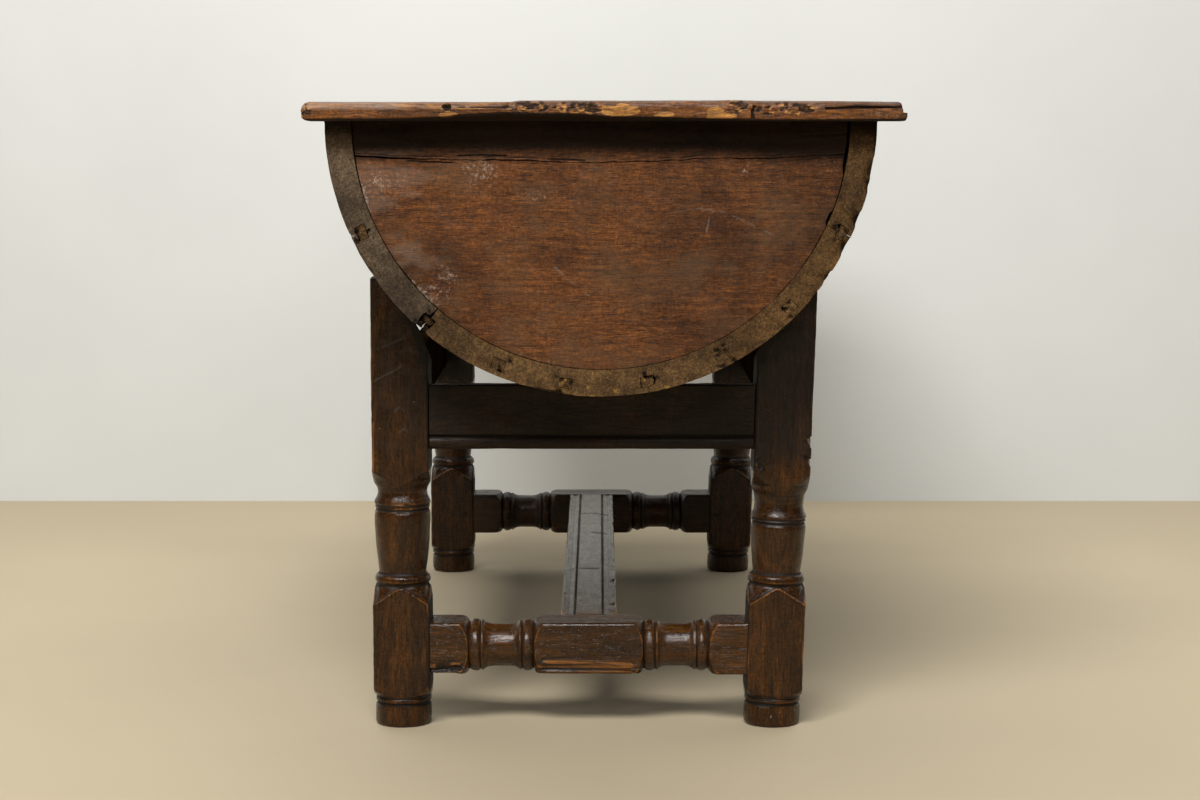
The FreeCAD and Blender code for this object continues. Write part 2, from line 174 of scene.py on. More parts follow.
def spots_on_ends(points, spots):
    """Soft spots of (strength, x, z, half width, half height), added up, alike on both ends of the table."""
    total = np.zeros(len(points))
    for strength, x, z, width, height in spots:
        total += strength * patch(points, (x, 0, z), (width, ANY_LENGTH, height))
    return total


# Shaping with mesh operators


def fine_outline(outline, step):
    """Points at most step apart along an outline of (radius, along, bulge of the part that ends there)."""
    points = [outline[0][:2]]
    for (radius, along, _), (to_radius, to_along, bulge) in zip(outline, outline[1:]):
        count = math.ceil(math.hypot(to_radius - radius, to_along - along) / step)
        count = max(count, 4 if bulge else 1)
        for part in (number / count for number in range(1, count + 1)):
            swell = 4 * bulge * part * (1 - part)
            wide = radius + (to_radius - radius) * part + swell
            points.append((wide, along + (to_along - along) * part))
    return points


def turned_billet(outline, half, steps, arris):
    """A square billet with a length turned to an outline: round where the outline is inside its faces."""
    bm = bmesh.new()
    line = [bm.verts.new((radius, 0, along)) for radius, along in outline]
    edges = [bm.edges.new(pair) for pair in zip(line, line[1:])]
    bmesh.ops.spin(
        bm, geom=line + edges, cent=(0, 0, 0), axis=(0, 0, 1), angle=math.tau, steps=steps, use_merge=True
    )
    bmesh.ops.holes_fill(bm, edges=[edge for edge in bm.edges if edge.is_boundary], sides=0)
    for vert in bm.verts:
        radius = math.hypot(vert.co.x, vert.co.y)
        turn = math.atan2(vert.co.y, vert.co.x)
        turn += CROWDED_CORNERS * math.sin(4 * turn)
        x = radius * math.cos(turn)
        y = radius * math.sin(turn)
        reach = (abs(x) ** arris + abs(y) ** arris) ** (1 / arris)
        planed = min(1.0, half / reach)
        vert.co.x = x * planed
        vert.co.y = y * planed
    return bm


def draw_out(bm, places, along=ALONG_TABLE):
    """Extrudes the section in bm from the first place to each of the others."""
    faces = list(bm.faces)
    for here, there in zip(places, places[1:]):
        edges = dict.fromkeys(edge for face in faces for edge in face.edges)
        made = bmesh.ops.extrude_face_region(bm, geom=faces + list(edges))["geom"]
        verts = [part for part in made if isinstance(part, bmesh.types.BMVert)]
        bmesh.ops.translate(bm, verts=verts, vec=along * (there - here))
        faces = [part for part in made if isinstance(part, bmesh.types.BMFace)]


def stations(start, end, step, fine=None, ends=0.0):
    """Places along a piece: fine steps within a distance of both ends, and coarser ones between."""
    places = [start]
    while places[-1] < end:
        near = min(places[-1] - start, end - places[-1])
        places.append(places[-1] + (fine if fine and near < ends else step))
    places[-1] = end
    return places


def section_grid(across, up):
    """A grid of faces in the XZ plane with its lines at the given places across and up."""
    bm = bmesh.new()
    bmesh.ops.create_grid(bm, x_segments=len(across) - 1, y_segments=len(up) - 1, size=0.5)
    for vert in bm.verts:
        line_across = round((vert.co.x + 0.5) * (len(across) - 1))
        line_up = round((vert.co.y + 0.5) * (len(up) - 1))
        vert.co = (across[line_across], 0, up[line_up])
    return bm


def section_loop(corners, step):
    """One face in the XZ plane inside a closed outline, with points at most step apart."""
    bm = bmesh.new()
    points = fine_outline([(*corner, 0) for corner in corners + corners[:1]], step)[:-1]
    bm.faces.new([bm.verts.new((x, 0, z)) for x, z in points])
    return bm


def move(bm, matrix):
    bmesh.ops.transform(bm, matrix=matrix, verts=bm.verts)


def on_plan(x_row, y_row):
    """A matrix that turns and moves a shape on the floor plan and leaves its heights alone."""
    return Matrix((x_row, y_row, (0, 0, 1, 0), (0, 0, 0, 1)))


# Weathering


def column(group, field, width):
    values = np.empty(len(group) * width)
    group.foreach_get(field, values)
    return values.reshape(-1, width)


class Weathered:
    """A mesh in millimetres whose points wear back along their normals."""

    def __init__(self, mesh):
        self.mesh = mesh
        self.points = column(mesh.vertices, "co", 3)
        ends = np.empty(len(mesh.edges) * 2, dtype=np.int32)
        mesh.edges.foreach_get("vertices", ends)
        self.ends = ends.reshape(-1, 2)
        self.count = np.bincount(self.ends.ravel(), minlength=len(self.points))

    def normals(self):
        self.mesh.vertices.foreach_set("co", self.points.ravel())
        self.mesh.update()
        return column(self.mesh.vertices, "normal", 3)

    def gathered(self, from_first, from_second):
        """The mean at each point of a value for each edge, as seen from its first and its second end."""
        size = len(self.points)
        total = np.bincount(self.ends[:, 0], from_first, size)
        total += np.bincount(self.ends[:, 1], from_second, size)
        return total / self.count

    def spread(self, values, times):
        for _ in range(times):
            beside = self.gathered(values[self.ends[:, 1]], values[self.ends[:, 0]])
            values = (values + beside) / 2
        return values

    def bend(self):
        """How sharply the surface turns at each point, per mm: above 0 on an arris, below 0 in a hollow."""
        normals = self.normals()
        first = self.ends[:, 0]
        second = self.ends[:, 1]
        run = self.points[second] - self.points[first]
        squared = (run**2).sum(axis=1) + 1e-9
        from_first = -2 * (run * normals[first]).sum(axis=1) / squared
        from_second = 2 * (run * normals[second]).sum(axis=1) / squared
        return self.gathered(from_first, from_second)

    def wear(self, depth):
        self.points = self.points - self.normals() * depth[:, None]

    def keep(self, name, values):
        layer = self.mesh.attributes.new(name, "FLOAT", "POINT")
        values = np.clip(values, 0.0, 1.0) + np.zeros(len(self.points))
        layer.data.foreach_set("value", values.astype(np.float32))


def weather(mesh, box, bite, dents, rub, marks, firm):
    """Wears arrises and faces, then keeps for the finish to read each point's bareness, grime, scuffs and
    lines, which also carry the painted shade, painted light and painted highlights that the marks put there.
    """
    worn = Weathered(mesh)
    points = worn.points.copy()
    sharp = worn.spread(np.clip(6 * worn.bend(), 0, 1), 2)
    chips = ease(0.15, 0.95, rough(points, 40) + 0.3 * drift(points, 8))
    depth = bite * sharp * (0.35 + 1.6 * chips)
    depth += dents * (0.6 + 0.5 * rough(points, 80) + 0.3 * rough(points, 12))
    found = {"depth": 0.0, "bare": 0.0, "grime_and_shade": 0.0, "scuff_and_painted_light": 0.0, "line": 0.0}
    if marks:
        found.update(marks(points))
    depth += found["depth"]
    if firm:
        depth *= 1 - firm(points)
    worn.wear(depth)
    worn.points = np.clip(worn.points, *box)
    turn = worn.bend()
    outer = worn.spread(np.clip(5 * turn, 0, 1), 1)
    inner = worn.spread(np.clip(-5 * turn, 0, 1), 2)
    rubbed = outer * (0.55 + 0.6 * rough(points, 30)) + 0.35 * chips * sharp
    worn.keep("bare", found["bare"] + rub * rubbed)
    worn.keep("grime_and_shade", found["grime_and_shade"] + inner)
    worn.keep("scuff_and_painted_light", found["scuff_and_painted_light"])
    worn.keep("line", found["line"])
    worn.normals()


def put(name, bm, body, slot, finish, bite=1.2, dents=0.4, rub=1.0, marks=None, firm=None, spare=0.0):
    """Weathers a shape, makes it a piece in metres and puts it in the place of the node of its name."""
    bmesh.ops.remove_doubles(bm, verts=bm.verts, dist=0.05)
    bmesh.ops.dissolve_degenerate(bm, edges=bm.edges, dist=0.05)
    bmesh.ops.recalc_face_normals(bm, faces=bm.faces)
    mesh = bpy.data.meshes.new(name)
    bm.to_mesh(mesh)
    bm.free()
    low, high = (np.array(corner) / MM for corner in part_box(name))
    weather(mesh, (low - spare, high + spare), bite, dents, rub, marks, firm)
    mesh.transform(Matrix.Scale(MM, 4))
    mesh.shade_smooth()
    mesh.set_sharp_from_angle(angle=math.radians(CREASE))
    mesh.materials.append(finish)
    piece = bpy.data.objects.new(f"{name}_worn", mesh)
    bpy.context.collection.objects.link(piece)
    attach(piece, body)
    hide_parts(name)


# Finishes


class Finish:
    """A material that is put together node by node."""

    def __init__(self, name):
        self.material = bpy.data.materials.new(name)
        self.material.use_nodes = True
        self.tree = self.material.node_tree
        self.shader = self.tree.nodes["Principled BSDF"]
        self.place = self.node("TexCoord").outputs["Object"]

    def node(self, kind, inputs=None, **settings):
        made = self.tree.nodes.new("ShaderNode" + kind)
        for key, value in settings.items():
            setattr(made, key, value)
        for key, value in (inputs or {}).items():
            self.feed(made.inputs[key], value)
        return made

    def feed(self, socket, value):
        if isinstance(value, bpy.types.NodeSocket):
            self.tree.links.new(value, socket)
        else:
            socket.default_value = value

    def math(self, operation, first, second=0.0):
        return self.node("Math", {0: first, 1: second}, operation=operation).outputs[0]

    def plus(self, first, second):
        return self.math("ADD", first, second)

    def times(self, first, second):
        return self.math("MULTIPLY", first, second)

    def swing(self, noise, reach):
        """Noise made to swing about 0 instead of about a half."""
        return self.times(self.math("SUBTRACT", noise, 0.5), reach)

    def noise(self, scale, detail=3.0, roughness=0.55, distortion=0.0, place=None):
        """Noise whose scale is one number, or one number for each axis, in lumps per metre."""
        if not isinstance(scale, tuple):
            scale = (scale, scale, scale)
        place = self.node("Mapping", {"Vector": place or self.place, "Scale": scale}).outputs[0]
        values = {"Vector": place, "Scale": 1.0, "Detail": detail}
        values.update({"Roughness": roughness, "Distortion": distortion})
        return self.node("TexNoise", values).outputs[0]

    def step(self, value, low, high, to_low=0.0, to_high=1.0):
        inputs = {"Value": value, "From Min": low, "From Max": high, "To Min": to_low, "To Max": to_high}
        return self.node("MapRange", inputs, interpolation_type="SMOOTHSTEP").outputs[0]

    def mix(self, factor, first, second, blend="MIX"):
        inputs = {0: factor, 6: first, 7: second}
        return self.node("Mix", inputs, data_type="RGBA", blend_type=blend).outputs[2]

    def shaded(self, colour, shade):
        grey = self.node("CombineColor", {0: shade, 1: shade, 2: shade}).outputs[0]
        return self.mix(1.0, colour, grey, "MULTIPLY")

    def ramp(self, factor, stops):
        made = self.node("ValToRGB", {0: factor})
        elements = made.color_ramp.elements
        while len(elements) < len(stops):
            elements.new(0.5)
        for element, (position, colour) in zip(elements, stops):
            element.position = position
            element.color = (*colour, 1.0)
        return made.outputs[0]

    def marked(self, name):
        return self.node("Attribute", attribute_name=name).outputs["Fac"]


Polish = namedtuple("Polish", "smooth dull coat coat_dull shine")


def along_grain(grain, along, across):
    """A scale for noise that runs in streaks along the grain."""
    return tuple(along if axis == grain else across for axis in "XYZ")


def opaque(colour, part=1.0):
    return (*(part * value for value in colour), 1.0)


def old_wood(
    name,
    grain,
    tones,
    bare,
    polish,
    rings=0.0,
    shade=(0.6, 1.2),
    dusty=0.0,
    fine=1.0,
    smears=0.6,
    heart=(0, 0, 0),
):
    """Old waxed wood: figure and fibre along the grain, blotches, pores, bare arrises and grime in hollows.

    The growth rings run round a heart, in metres, that is mirrored to all four corners of the table.
    """
    wood = Finish(name)
    sway = wood.swing(wood.noise(5.0, 3.0), 0.03)
    place = wood.node("VectorMath", {0: wood.place, 1: sway}, operation="ADD").outputs[0]
    figure = wood.noise(along_grain(grain, 5.0 * fine, 95.0 * fine), 4.0, 0.62, 0.2, place)
    fibre = wood.noise(along_grain(grain, 34.0 * fine, 420.0 * fine), 4.0, 0.72, 0.0, place)
    pores = wood.step(wood.noise(along_grain(grain, 50.0, 850.0), 2.0), 0.56, 0.66)
    blotch = wood.noise(9.0, 6.0, 0.62)
    smear = wood.noise(along_grain(grain, 30.0 * fine, 90.0 * fine), 6.0, 0.72)
    speck = wood.noise(330.0, 4.0, 0.75)
    plane_marks = wood.noise(along_grain(grain, 520.0, 60.0), 3.0, 0.6)

    tone = wood.plus(wood.times(figure, 0.38), wood.times(fibre, 0.62))
    if rings:
        folded = wood.node("VectorMath", {0: place}, operation="ABSOLUTE").outputs[0]
        long_drawn = along_grain(grain, 0.15, 1.0)
        off_heart = {"Vector": folded, "Location": [-part for part in heart], "Scale": long_drawn}
        ring_place = wood.node("Mapping", off_heart).outputs[0]
        ring_values = {"Vector": ring_place, "Scale": 40.0, "Distortion": 4.0, "Detail": 4.0}
        ring_values["Detail Scale"] = 1.4
        growth = wood.node("TexWave", ring_values, wave_type="RINGS", rings_direction=grain)
        tone = wood.plus(tone, wood.swing(growth.outputs["Fac"], rings))
    colour = wood.ramp(tone, [(0.36, tones[0]), (0.50, tones[1]), (0.64, tones[2])])
    shading = wood.times(wood.step(blotch, 0.33, 0.67, *shade), wood.step(speck, 0.3, 0.7, 0.62, 1.38))
    shading = wood.times(shading, wood.step(plane_marks, 0.3, 0.7, 0.87, 1.13))
    colour = wood.shaded(colour, shading)
    colour = wood.mix(wood.step(smear, 0.55, 0.78, 0.0, smears), colour, opaque(tones[0]))
    colour = wood.mix(wood.times(pores, 0.65), colour, opaque(tones[0], 0.3))
    if dusty:
        haze = wood.step(wood.noise(16.0, 5.0, 0.65), 0.45, 0.7, 0.0, dusty)
        colour = wood.mix(haze, colour, HAZE)

    # The bare attribute lightens towards bare wood for worn arrises and patches, and in places also stands
    # for a painted highlight line or painted sheen.
    bare_here = wood.step(wood.plus(wood.marked("bare"), wood.swing(smear, 0.9)), 0.28, 0.85)
    bare_colour = wood.mix(wood.step(fibre, 0.3, 0.7), opaque(bare, 0.2), opaque(bare))
    colour = wood.mix(bare_here, colour, bare_colour)
    # This attribute lightens towards a pale colour for real scuffs, and also as painted light over the end
    # board's left.
    scuff_and_painted_light = wood.marked("scuff_and_painted_light")
    scratched = wood.step(wood.plus(scuff_and_painted_light, wood.swing(speck, 2.4)), 0.35, 1.05)
    scratched = wood.times(scratched, wood.step(scuff_and_painted_light, 0.02, 0.2))
    colour = wood.mix(wood.times(scratched, 0.75), colour, PALE_SCUFF_AND_SHEEN)
    # The line attribute lightens towards the same pale colour for scratches, and also as painted light over
    # the end board's left and a painted sheen along the lid end's upper left.
    colour = wood.mix(wood.step(wood.marked("line"), 0.25, 0.9, 0.0, 0.2), colour, PALE_SCUFF_AND_SHEEN)
    # This attribute darkens towards a near-black: real grime in hollows, seams, cracks and holes, and also
    # painted shade that the marks put under the lid, on the legs' tops and cradles, and on shaded pieces.
    grime_and_shade_here = wood.step(wood.marked("grime_and_shade"), 0.06, 0.6)
    colour = wood.mix(wood.times(grime_and_shade_here, 0.9), colour, GRIME_AND_SHADE)
    wood.feed(wood.shader.inputs["Base Color"], colour)

    dull = wood.step(smear, 0.3, 0.7, polish.smooth, polish.dull)
    for worn, duller in ((grime_and_shade_here, 0.45), (bare_here, 0.12), (scratched, 0.15)):
        dull = wood.plus(dull, wood.times(worn, duller))
    wood.feed(wood.shader.inputs["Roughness"], dull)
    relief = wood.math("SUBTRACT", wood.times(fibre, 0.6), wood.times(pores, 0.5))
    relief = wood.plus(relief, wood.times(wood.noise(130.0, 4.0), 0.5))
    height = wood.plus(relief, wood.times(speck, 0.8))
    bump = wood.node("Bump", {"Strength": 0.55, "Distance": 0.0007, "Height": height}).outputs[0]
    wood.feed(wood.shader.inputs["Normal"], bump)
    wood.feed(wood.shader.inputs["Coat Normal"], bump)
    wood.shader.inputs["Coat Weight"].default_value = polish.coat
    wood.shader.inputs["Coat Roughness"].default_value = polish.coat_dull
    wood.shader.inputs["Specular IOR Level"].default_value = polish.shine
    return wood.material


def nail_iron():
    """Forged iron gone dark, with rust in its hollows."""
    iron = Finish("nail_iron")
    rust = iron.step(iron.noise(160.0, 5.0, 0.65), 0.42, 0.62)
    colour = iron.mix(rust, (0.020, 0.017, 0.016, 1.0), (0.075, 0.028, 0.012, 1.0))
    iron.feed(iron.shader.inputs["Base Color"], colour)
    iron.feed(iron.shader.inputs["Metallic"], iron.step(rust, 0.0, 1.0, 0.7, 0.1))
    iron.feed(iron.shader.inputs["Roughness"], iron.step(rust, 0.0, 1.0, 0.5, 0.85))
    pits = iron.noise(900.0, 3.0)
    bump = iron.node("Bump", {"Strength": 0.5, "Distance": 0.0006, "Height": pits}).outputs[0]
    iron.feed(iron.shader.inputs["Normal"], bump)
    return iron.material


# A pale colour for scuffs and scratches, also used for painted light and a painted sheen.
PALE_SCUFF_AND_SHEEN = (0.36, 0.28, 0.22, 1.0)
HAZE = (0.090, 0.052, 0.025, 1.0)
# Near-black for grime, and also for painted shade.
GRIME_AND_SHADE = (0.0040, 0.0024, 0.0013, 1.0)
STAND_TONES = ((0.0135, 0.0049, 0.0008), (0.0305, 0.0108, 0.0014), (0.0650, 0.0212, 0.0025))
STRETCHER_TONES = ((0.0170, 0.0064, 0.0011), (0.0400, 0.0146, 0.0020), (0.0850, 0.0290, 0.0038))
STAND_BARE = (0.27, 0.100, 0.017)
LEG_HEART = (0.225, 0.50, 0.0)
STAND_POLISH = Polish(0.07, 0.3, 0.0, 0.15, 0.29)
STRETCHER_POLISH = Polish(0.12, 0.36, 0.2, 0.1, 0.25)
RAIL_TONES = ((0.0080, 0.0045, 0.0018), (0.0150, 0.0082, 0.0030), (0.0270, 0.0135, 0.0045))
RAIL_BARE = (0.090, 0.040, 0.011)
END_RAIL_POLISH = Polish(0.4, 0.6, 0.1, 0.25, 0.14)
SIDE_RAIL_POLISH = Polish(0.7, 0.9, 0.0, 0.4, 0.0)
BOARD_POLISH = Polish(0.18, 0.34, 0.6, 0.16, 0.25)
END_BOARD_TONES = ((0.028, 0.0096, 0.0027), (0.072, 0.0240, 0.0058), (0.138, 0.0480, 0.0110))
END_BOARD_BARE = (0.24, 0.085, 0.018)
END_BOARD_POLISH = Polish(0.45, 0.65, 0.06, 0.35, 0.12)
STAVE_TONES = {
    "grey": ((0.036, 0.0240, 0.0145), (0.078, 0.0525, 0.0310), (0.130, 0.088, 0.052)),
    "brown": ((0.030, 0.0160, 0.0060), (0.078, 0.0425, 0.0160), (0.136, 0.074, 0.027)),
    "dark": ((0.024, 0.0125, 0.0045), (0.060, 0.0310, 0.0105), (0.108, 0.055, 0.018)),
}
STAVE_BARE = (0.30, 0.160, 0.040)
STAVE_POLISH = Polish(0.55, 0.8, 0.0, 0.4, 0.1)
LID_TONES = ((0.040, 0.0141, 0.0031), (0.105, 0.0354, 0.0064), (0.220, 0.0765, 0.0138))
LID_BARE = (0.53, 0.238, 0.055)
LID_POLISH = Polish(0.26, 0.5, 0.0, 0.25, 0.22)
PLANK_HEART = (0.23, 0.0, 0.70)

stand_upright = old_wood(
    "stand_upright", "Z", STAND_TONES, STAND_BARE, STAND_POLISH, rings=0.09, heart=LEG_HEART
)
stretcher_wood = old_wood(
    "stretcher_wood", "X", STRETCHER_TONES, STAND_BARE, STRETCHER_POLISH, rings=0.05
)
end_rail_wood = old_wood("end_rail_wood", "X", RAIL_TONES, RAIL_BARE, END_RAIL_POLISH)
side_rail_wood = old_wood("side_rail_wood", "Y", RAIL_TONES, RAIL_BARE, SIDE_RAIL_POLISH)
board_wood = old_wood("board_wood", "Y", STAND_TONES, STAND_BARE, BOARD_POLISH)
end_board_wood = old_wood(
    "end_board_wood",
    "X",
    END_BOARD_TONES,
    END_BOARD_BARE,
    END_BOARD_POLISH,
    shade=(0.52, 1.3),
    dusty=0.4,
    fine=2.3,
    smears=0.4,
)
grey_stave_wood, brown_stave_wood, dark_stave_wood = (
    old_wood(f"{tint}_stave_wood", "Y", tones, STAVE_BARE, STAVE_POLISH, shade=(0.5, 1.3))
    for tint, tones in STAVE_TONES.items()
)
lid_along = old_wood("lid_along", "Y", LID_TONES, LID_BARE, LID_POLISH, rings=0.14, heart=PLANK_HEART)
lid_across = old_wood("lid_across", "X", LID_TONES, LID_BARE, LID_POLISH, fine=1.4, smears=0.35)
iron = nail_iron()


# Stand

# Profiles are lists of (radius, along, bulge).
LOWER_TURNING = [
    (30.0, -2.0, 0), (34.8, 4.0, 1.2), (35.0, 15.0, 0), (34.6, 25.5, 0), (32.4, 26.8, 0),
    (32.4, 28.2, 0), (34.6, 29.6, 0), (34.9, 33.5, 0), (33.8, 35.0, 0), (35.6, 37.0, 0),
    (51.0, 52.0, 2.5), (51.0, 151.0, 0), (45.5, 156.0, 0), (41.7, 160.0, 0), (38.7, 164.0, 0),
    (36.6, 168.0, 0), (35.6, 170.6, 0), (34.4, 172.8, 0), (33.0, 174.0, 0), (33.0, 175.8, 0),
    (35.0, 177.8, 0.3), (35.0, 181.2, 0.4), (34.2, 184.4, 0.4), (30.4, 187.5, 0.9), (29.6, 189.0, 0),
    (29.8, 192.0, 0), (32.2, 212.0, 0.2), (34.0, 236.0, 0.2),
]
UPPER_TURNING = {
    "left": [
        (34.7, 257.0, 0.2), (34.1, 264.5, 0.3), (32.6, 266.2, 0), (33.0, 267.4, 0), (34.4, 269.0, 0.3),
        (33.4, 271.3, 0), (35.2, 275.5, 0.5), (33.0, 280.0, 0.2), (30.8, 288.0, -0.5),
        (32.6, 294.5, -0.5), (35.1, 298.5, 0), (36.2, 302.5, 0), (38.7, 306.5, 0), (42.7, 310.5, 0),
        (51.0, 317.5, 0), (51.0, LEG_TOP, 0),
    ],
    "right": [
        (34.5, 243.0, 0.2), (33.9, 248.0, 0.3), (32.4, 249.8, 0), (32.8, 251.0, 0), (34.4, 252.6, 0.3),
        (33.2, 254.6, 0), (35.0, 258.0, 0.5), (32.4, 263.0, 0.2), (30.6, 273.0, -0.4),
        (31.8, 284.0, -0.3), (35.1, 290.6, -0.4), (36.8, 297.5, 0), (41.0, 302.0, 0.6),
        (46.5, 311.0, 0.8), (51.0, 322.0, 0.8), (51.0, LEG_TOP, 0),
    ],
}
NECKS = {"left": (280, 297, 0.09), "right": (262, 291, 0.24)}
GABLE_TOP = 174.2
GABLE_SLOPE = 0.64
# Painted shade over the legs' upper blocks, deeper on the right-hand and rear legs.
UPPER_PAINTED_SHADE = {
    "front": {"left": 0.22, "right": 0.34},
    "rear": {"left": 0.5, "right": 0.5},
}
LEG_FACE = -LEG_ALONG - LEG / 2
LEG_SCRATCHES = [
    [(-266, 466), (-239, 477)],
    [(-276, 425), (-241, 444)],
    [(-252, 388), (-246, 394), (-238, 389)],
    [(-247, 362), (-241, 368), (-234, 363)],
]
SPLINTERS = [((239, 357), (253, 350), 7.0, 0.8), ((238, 338), (252, 325), 4.5, 0.3)]


def splinter(points, tip, mouth, reach):
    """The depth, up to 1, of a wedge from its tip to its mouth at the arris, reach to either side of it."""
    part = np.clip((points[:, 0] - tip[0]) / (mouth[0] - tip[0]), 0.0, 1.0)
    middle = tip[1] + part * (mouth[1] - tip[1])
    half = reach * part
    inside = ease(half + 0.9, half - 0.4, np.abs(points[:, 2] - middle))
    return part * inside * ease(LEG_FACE + 24, LEG_FACE + 8, points[:, 1])


def front_leg_marks(points):
    """Scratches on the left-hand leg, and splinters broken out of the right-hand one's outer arris."""
    facing = ease(LEG_FACE + 4, LEG_FACE, points[:, 1])
    scratch = facing * on_lines(points, LEG_SCRATCHES, 2.2, 0.3)
    broken = np.zeros(len(points))
    pale = np.zeros(len(points))
    for tip, mouth, reach, paleness in SPLINTERS:
        wedge = splinter(points, tip, mouth, reach)
        broken = np.maximum(broken, wedge)
        pale = np.maximum(pale, paleness * wedge)
    knock = patch(points, (188, LEG_FACE, 325), (7, 6, 9)) * ease(-0.3, 0.5, rough(points, (5, 5, 3)))
    rubbed = patch(points, (204, LEG_FACE, 365), (5, 8, 24)) * ease(0.0, 0.6, rough(points, (6, 6, 12)))
    depth = 0.2 * scratch + 6.5 * broken * (0.8 + 0.4 * drift(points, 4)) + 2.5 * knock
    return {"depth": depth, "bare": 0.4 * broken + 0.5 * rubbed, "scuff_and_painted_light": pale, "line": 0.7 * scratch}


def lean_out(bm, side):
    """Leans a piece outwards with the legs on its side, about the height of the stretchers."""
    middle = Vector((0, 0, STRETCHER_HEIGHT))
    lean = Matrix.Translation(middle) @ Matrix.Rotation(math.radians(LEG_LEAN[side]), 4, "Y")
    move(bm, lean @ Matrix.Translation(-middle))


def leg(side, end):
    sign = SIDES[side]
    outline = fine_outline(LOWER_TURNING + UPPER_TURNING[side], 1.7)
    bm = turned_billet(outline, LEG / 2, 124, LEG_ARRIS)
    depth = CRADLE_DEPTH[side]
    rise = CRADLE_RISE[side]
    curve = (depth**2 + rise**2) / (2 * depth)
    for vert in bm.verts:
        above = min(max(vert.co.z - CRADLE_FOOT, 0.0), rise)
        inwards = 0.5 - ENDS[end] * vert.co.y / LEG
        relief = curve - math.sqrt(curve**2 - above**2) + CRADLE_SLANT * inwards * min(above / 25, 1.0)
        from_inside = max(LEG / 2 + sign * vert.co.x, relief)
        vert.co.x = sign * (from_inside - LEG / 2)
    lean_out(bm, side)
    middle = STAND_ACROSS + sign * LEG_OUT
    move(bm, Matrix.Translation((middle, ENDS[end] * LEG_ALONG, 0)))
    for vert in bm.verts:
        below_rim = RIM - vert.co.z
        if below_rim < CRADLE_RADIUS:
            clear = math.sqrt(CRADLE_RADIUS**2 - below_rim**2)
            out = max(sign * (vert.co.x - TROUGH_ACROSS), clear)
            vert.co.x = TROUGH_ACROSS + sign * out
    bmesh.ops.remove_doubles(bm, verts=bm.verts, dist=0.2)

    def marks(points):
        """A cut along the lower block's gable, its arris lightened as wear and as a painted highlight line,
        ridges from the turner's gouge, and painted shade on the top, in the cradle and over the upper block.
        """
        x, y, z = points.T
        found = {"depth": 0.0, "bare": 0.0, "scuff_and_painted_light": 0.0}
        if end == "front":
            found = front_leg_marks(points)
        off_axis = x - (middle + (z - STRETCHER_HEIGHT) * math.tan(math.radians(LEG_LEAN[side])))
        aside = np.minimum(np.abs(off_axis), np.abs(y - ENDS[end] * LEG_ALONG))
        above = z - GABLE_TOP + GABLE_SLOPE * aside
        lower = ease(176.0, 173.6, z)
        cut = ease(0.0, 1.6, above) * ease(11.0, 3.0, above) * lower
        gable = ease(1.8, 0.3, np.abs(above + 0.4)) * lower * ease(1.5, 4.0, aside)
        rising = np.clip(z - CRADLE_FOOT, 0, rise)
        relief = curve - np.sqrt(curve**2 - rising**2)
        cradle = ease(3.0, 1.0, LEG / 2 + sign * off_axis - relief - CRADLE_SLANT * (rising > 0))
        cradle = np.maximum(cradle, ease(4.0, 2.0, polar(points)[0] - CRADLE_RADIUS))
        blocks = ease(312, 322, z) + ease(40, 52, z) * ease(160, 150, z)
        foot, head, ridge = NECKS[side]
        neck = ease(foot - 1, foot + 2, z) * ease(head + 1, head - 2, z)
        ridges = ridge * neck * (1 + np.sin(z / 0.75 + 2.5 * drift(points, 16)))
        ridges *= ease(-0.5, 0.5, drift(points, (10, 10, 6)))
        splintered = found["scuff_and_painted_light"]
        found["depth"] = found["depth"] + 1.7 * cut + ridges
        # The gable's arris is lightened as wear and as a painted highlight line.
        found["bare"] = found["bare"] + gable * (0.55 + 0.5 * drift(points, 14))
        # Painted shade on the leg's top, in its cradle and over its upper block, kept off the pale splinters.
        found["grime_and_shade"] = (
            0.8 * ease(LEG_TOP - 5, LEG_TOP - 1, z)
            + 0.7 * cradle * blocks
            + UPPER_PAINTED_SHADE[end][side] * ease(300, 345, z)
            - 2.5 * splintered
        )
        found["scuff_and_painted_light"] = splintered + 0.5 * ease(0.7, 0.95, drift(points, (6, 6, 4)))
        return found

    name = f"leg_{end}_{side}"
    put(name, bm, "stand", "stand_wood", stand_upright, bite=1.3, dents=0.9, rub=0.75, marks=marks)


STRETCHER_HALF_OUTLINE = [
    (46.4, 51.6, 0), (44.8, 55.0, 0), (42.1, 59.0, 0.3), (37.3, 63.4, 0.4), (32.2, 66.4, 0.2),
    (29.0, 67.6, 0), (30.6, 69.0, 0), (31.8, 71.4, 0.2), (32.0, 78.6, 0.4), (29.6, 81.0, 0),
    (31.2, 82.4, 0.3), (31.0, 84.8, 0.3), (28.4, 87.4, -0.3), (26.4, 98.0, -0.7), (26.4, 115.0, 0),
    (28.4, 125.8, -0.7), (31.0, 128.4, -0.3), (31.2, 130.8, 0.3), (29.6, 132.2, 0), (32.0, 134.6, 0),
    (31.8, 141.8, 0.4), (30.6, 144.2, 0), (29.0, 145.6, 0), (32.2, 146.8, 0), (37.3, 149.8, 0.2),
    (42.1, 154.2, 0.4), (44.8, 158.2, 0.3), (46.4, 161.6, 0), (46.4, 194.0, 0),
]
# Painted shade all over the rear stretcher.
STRETCHER_PAINTED_SHADE = {"front": 0.0, "rear": 0.25}


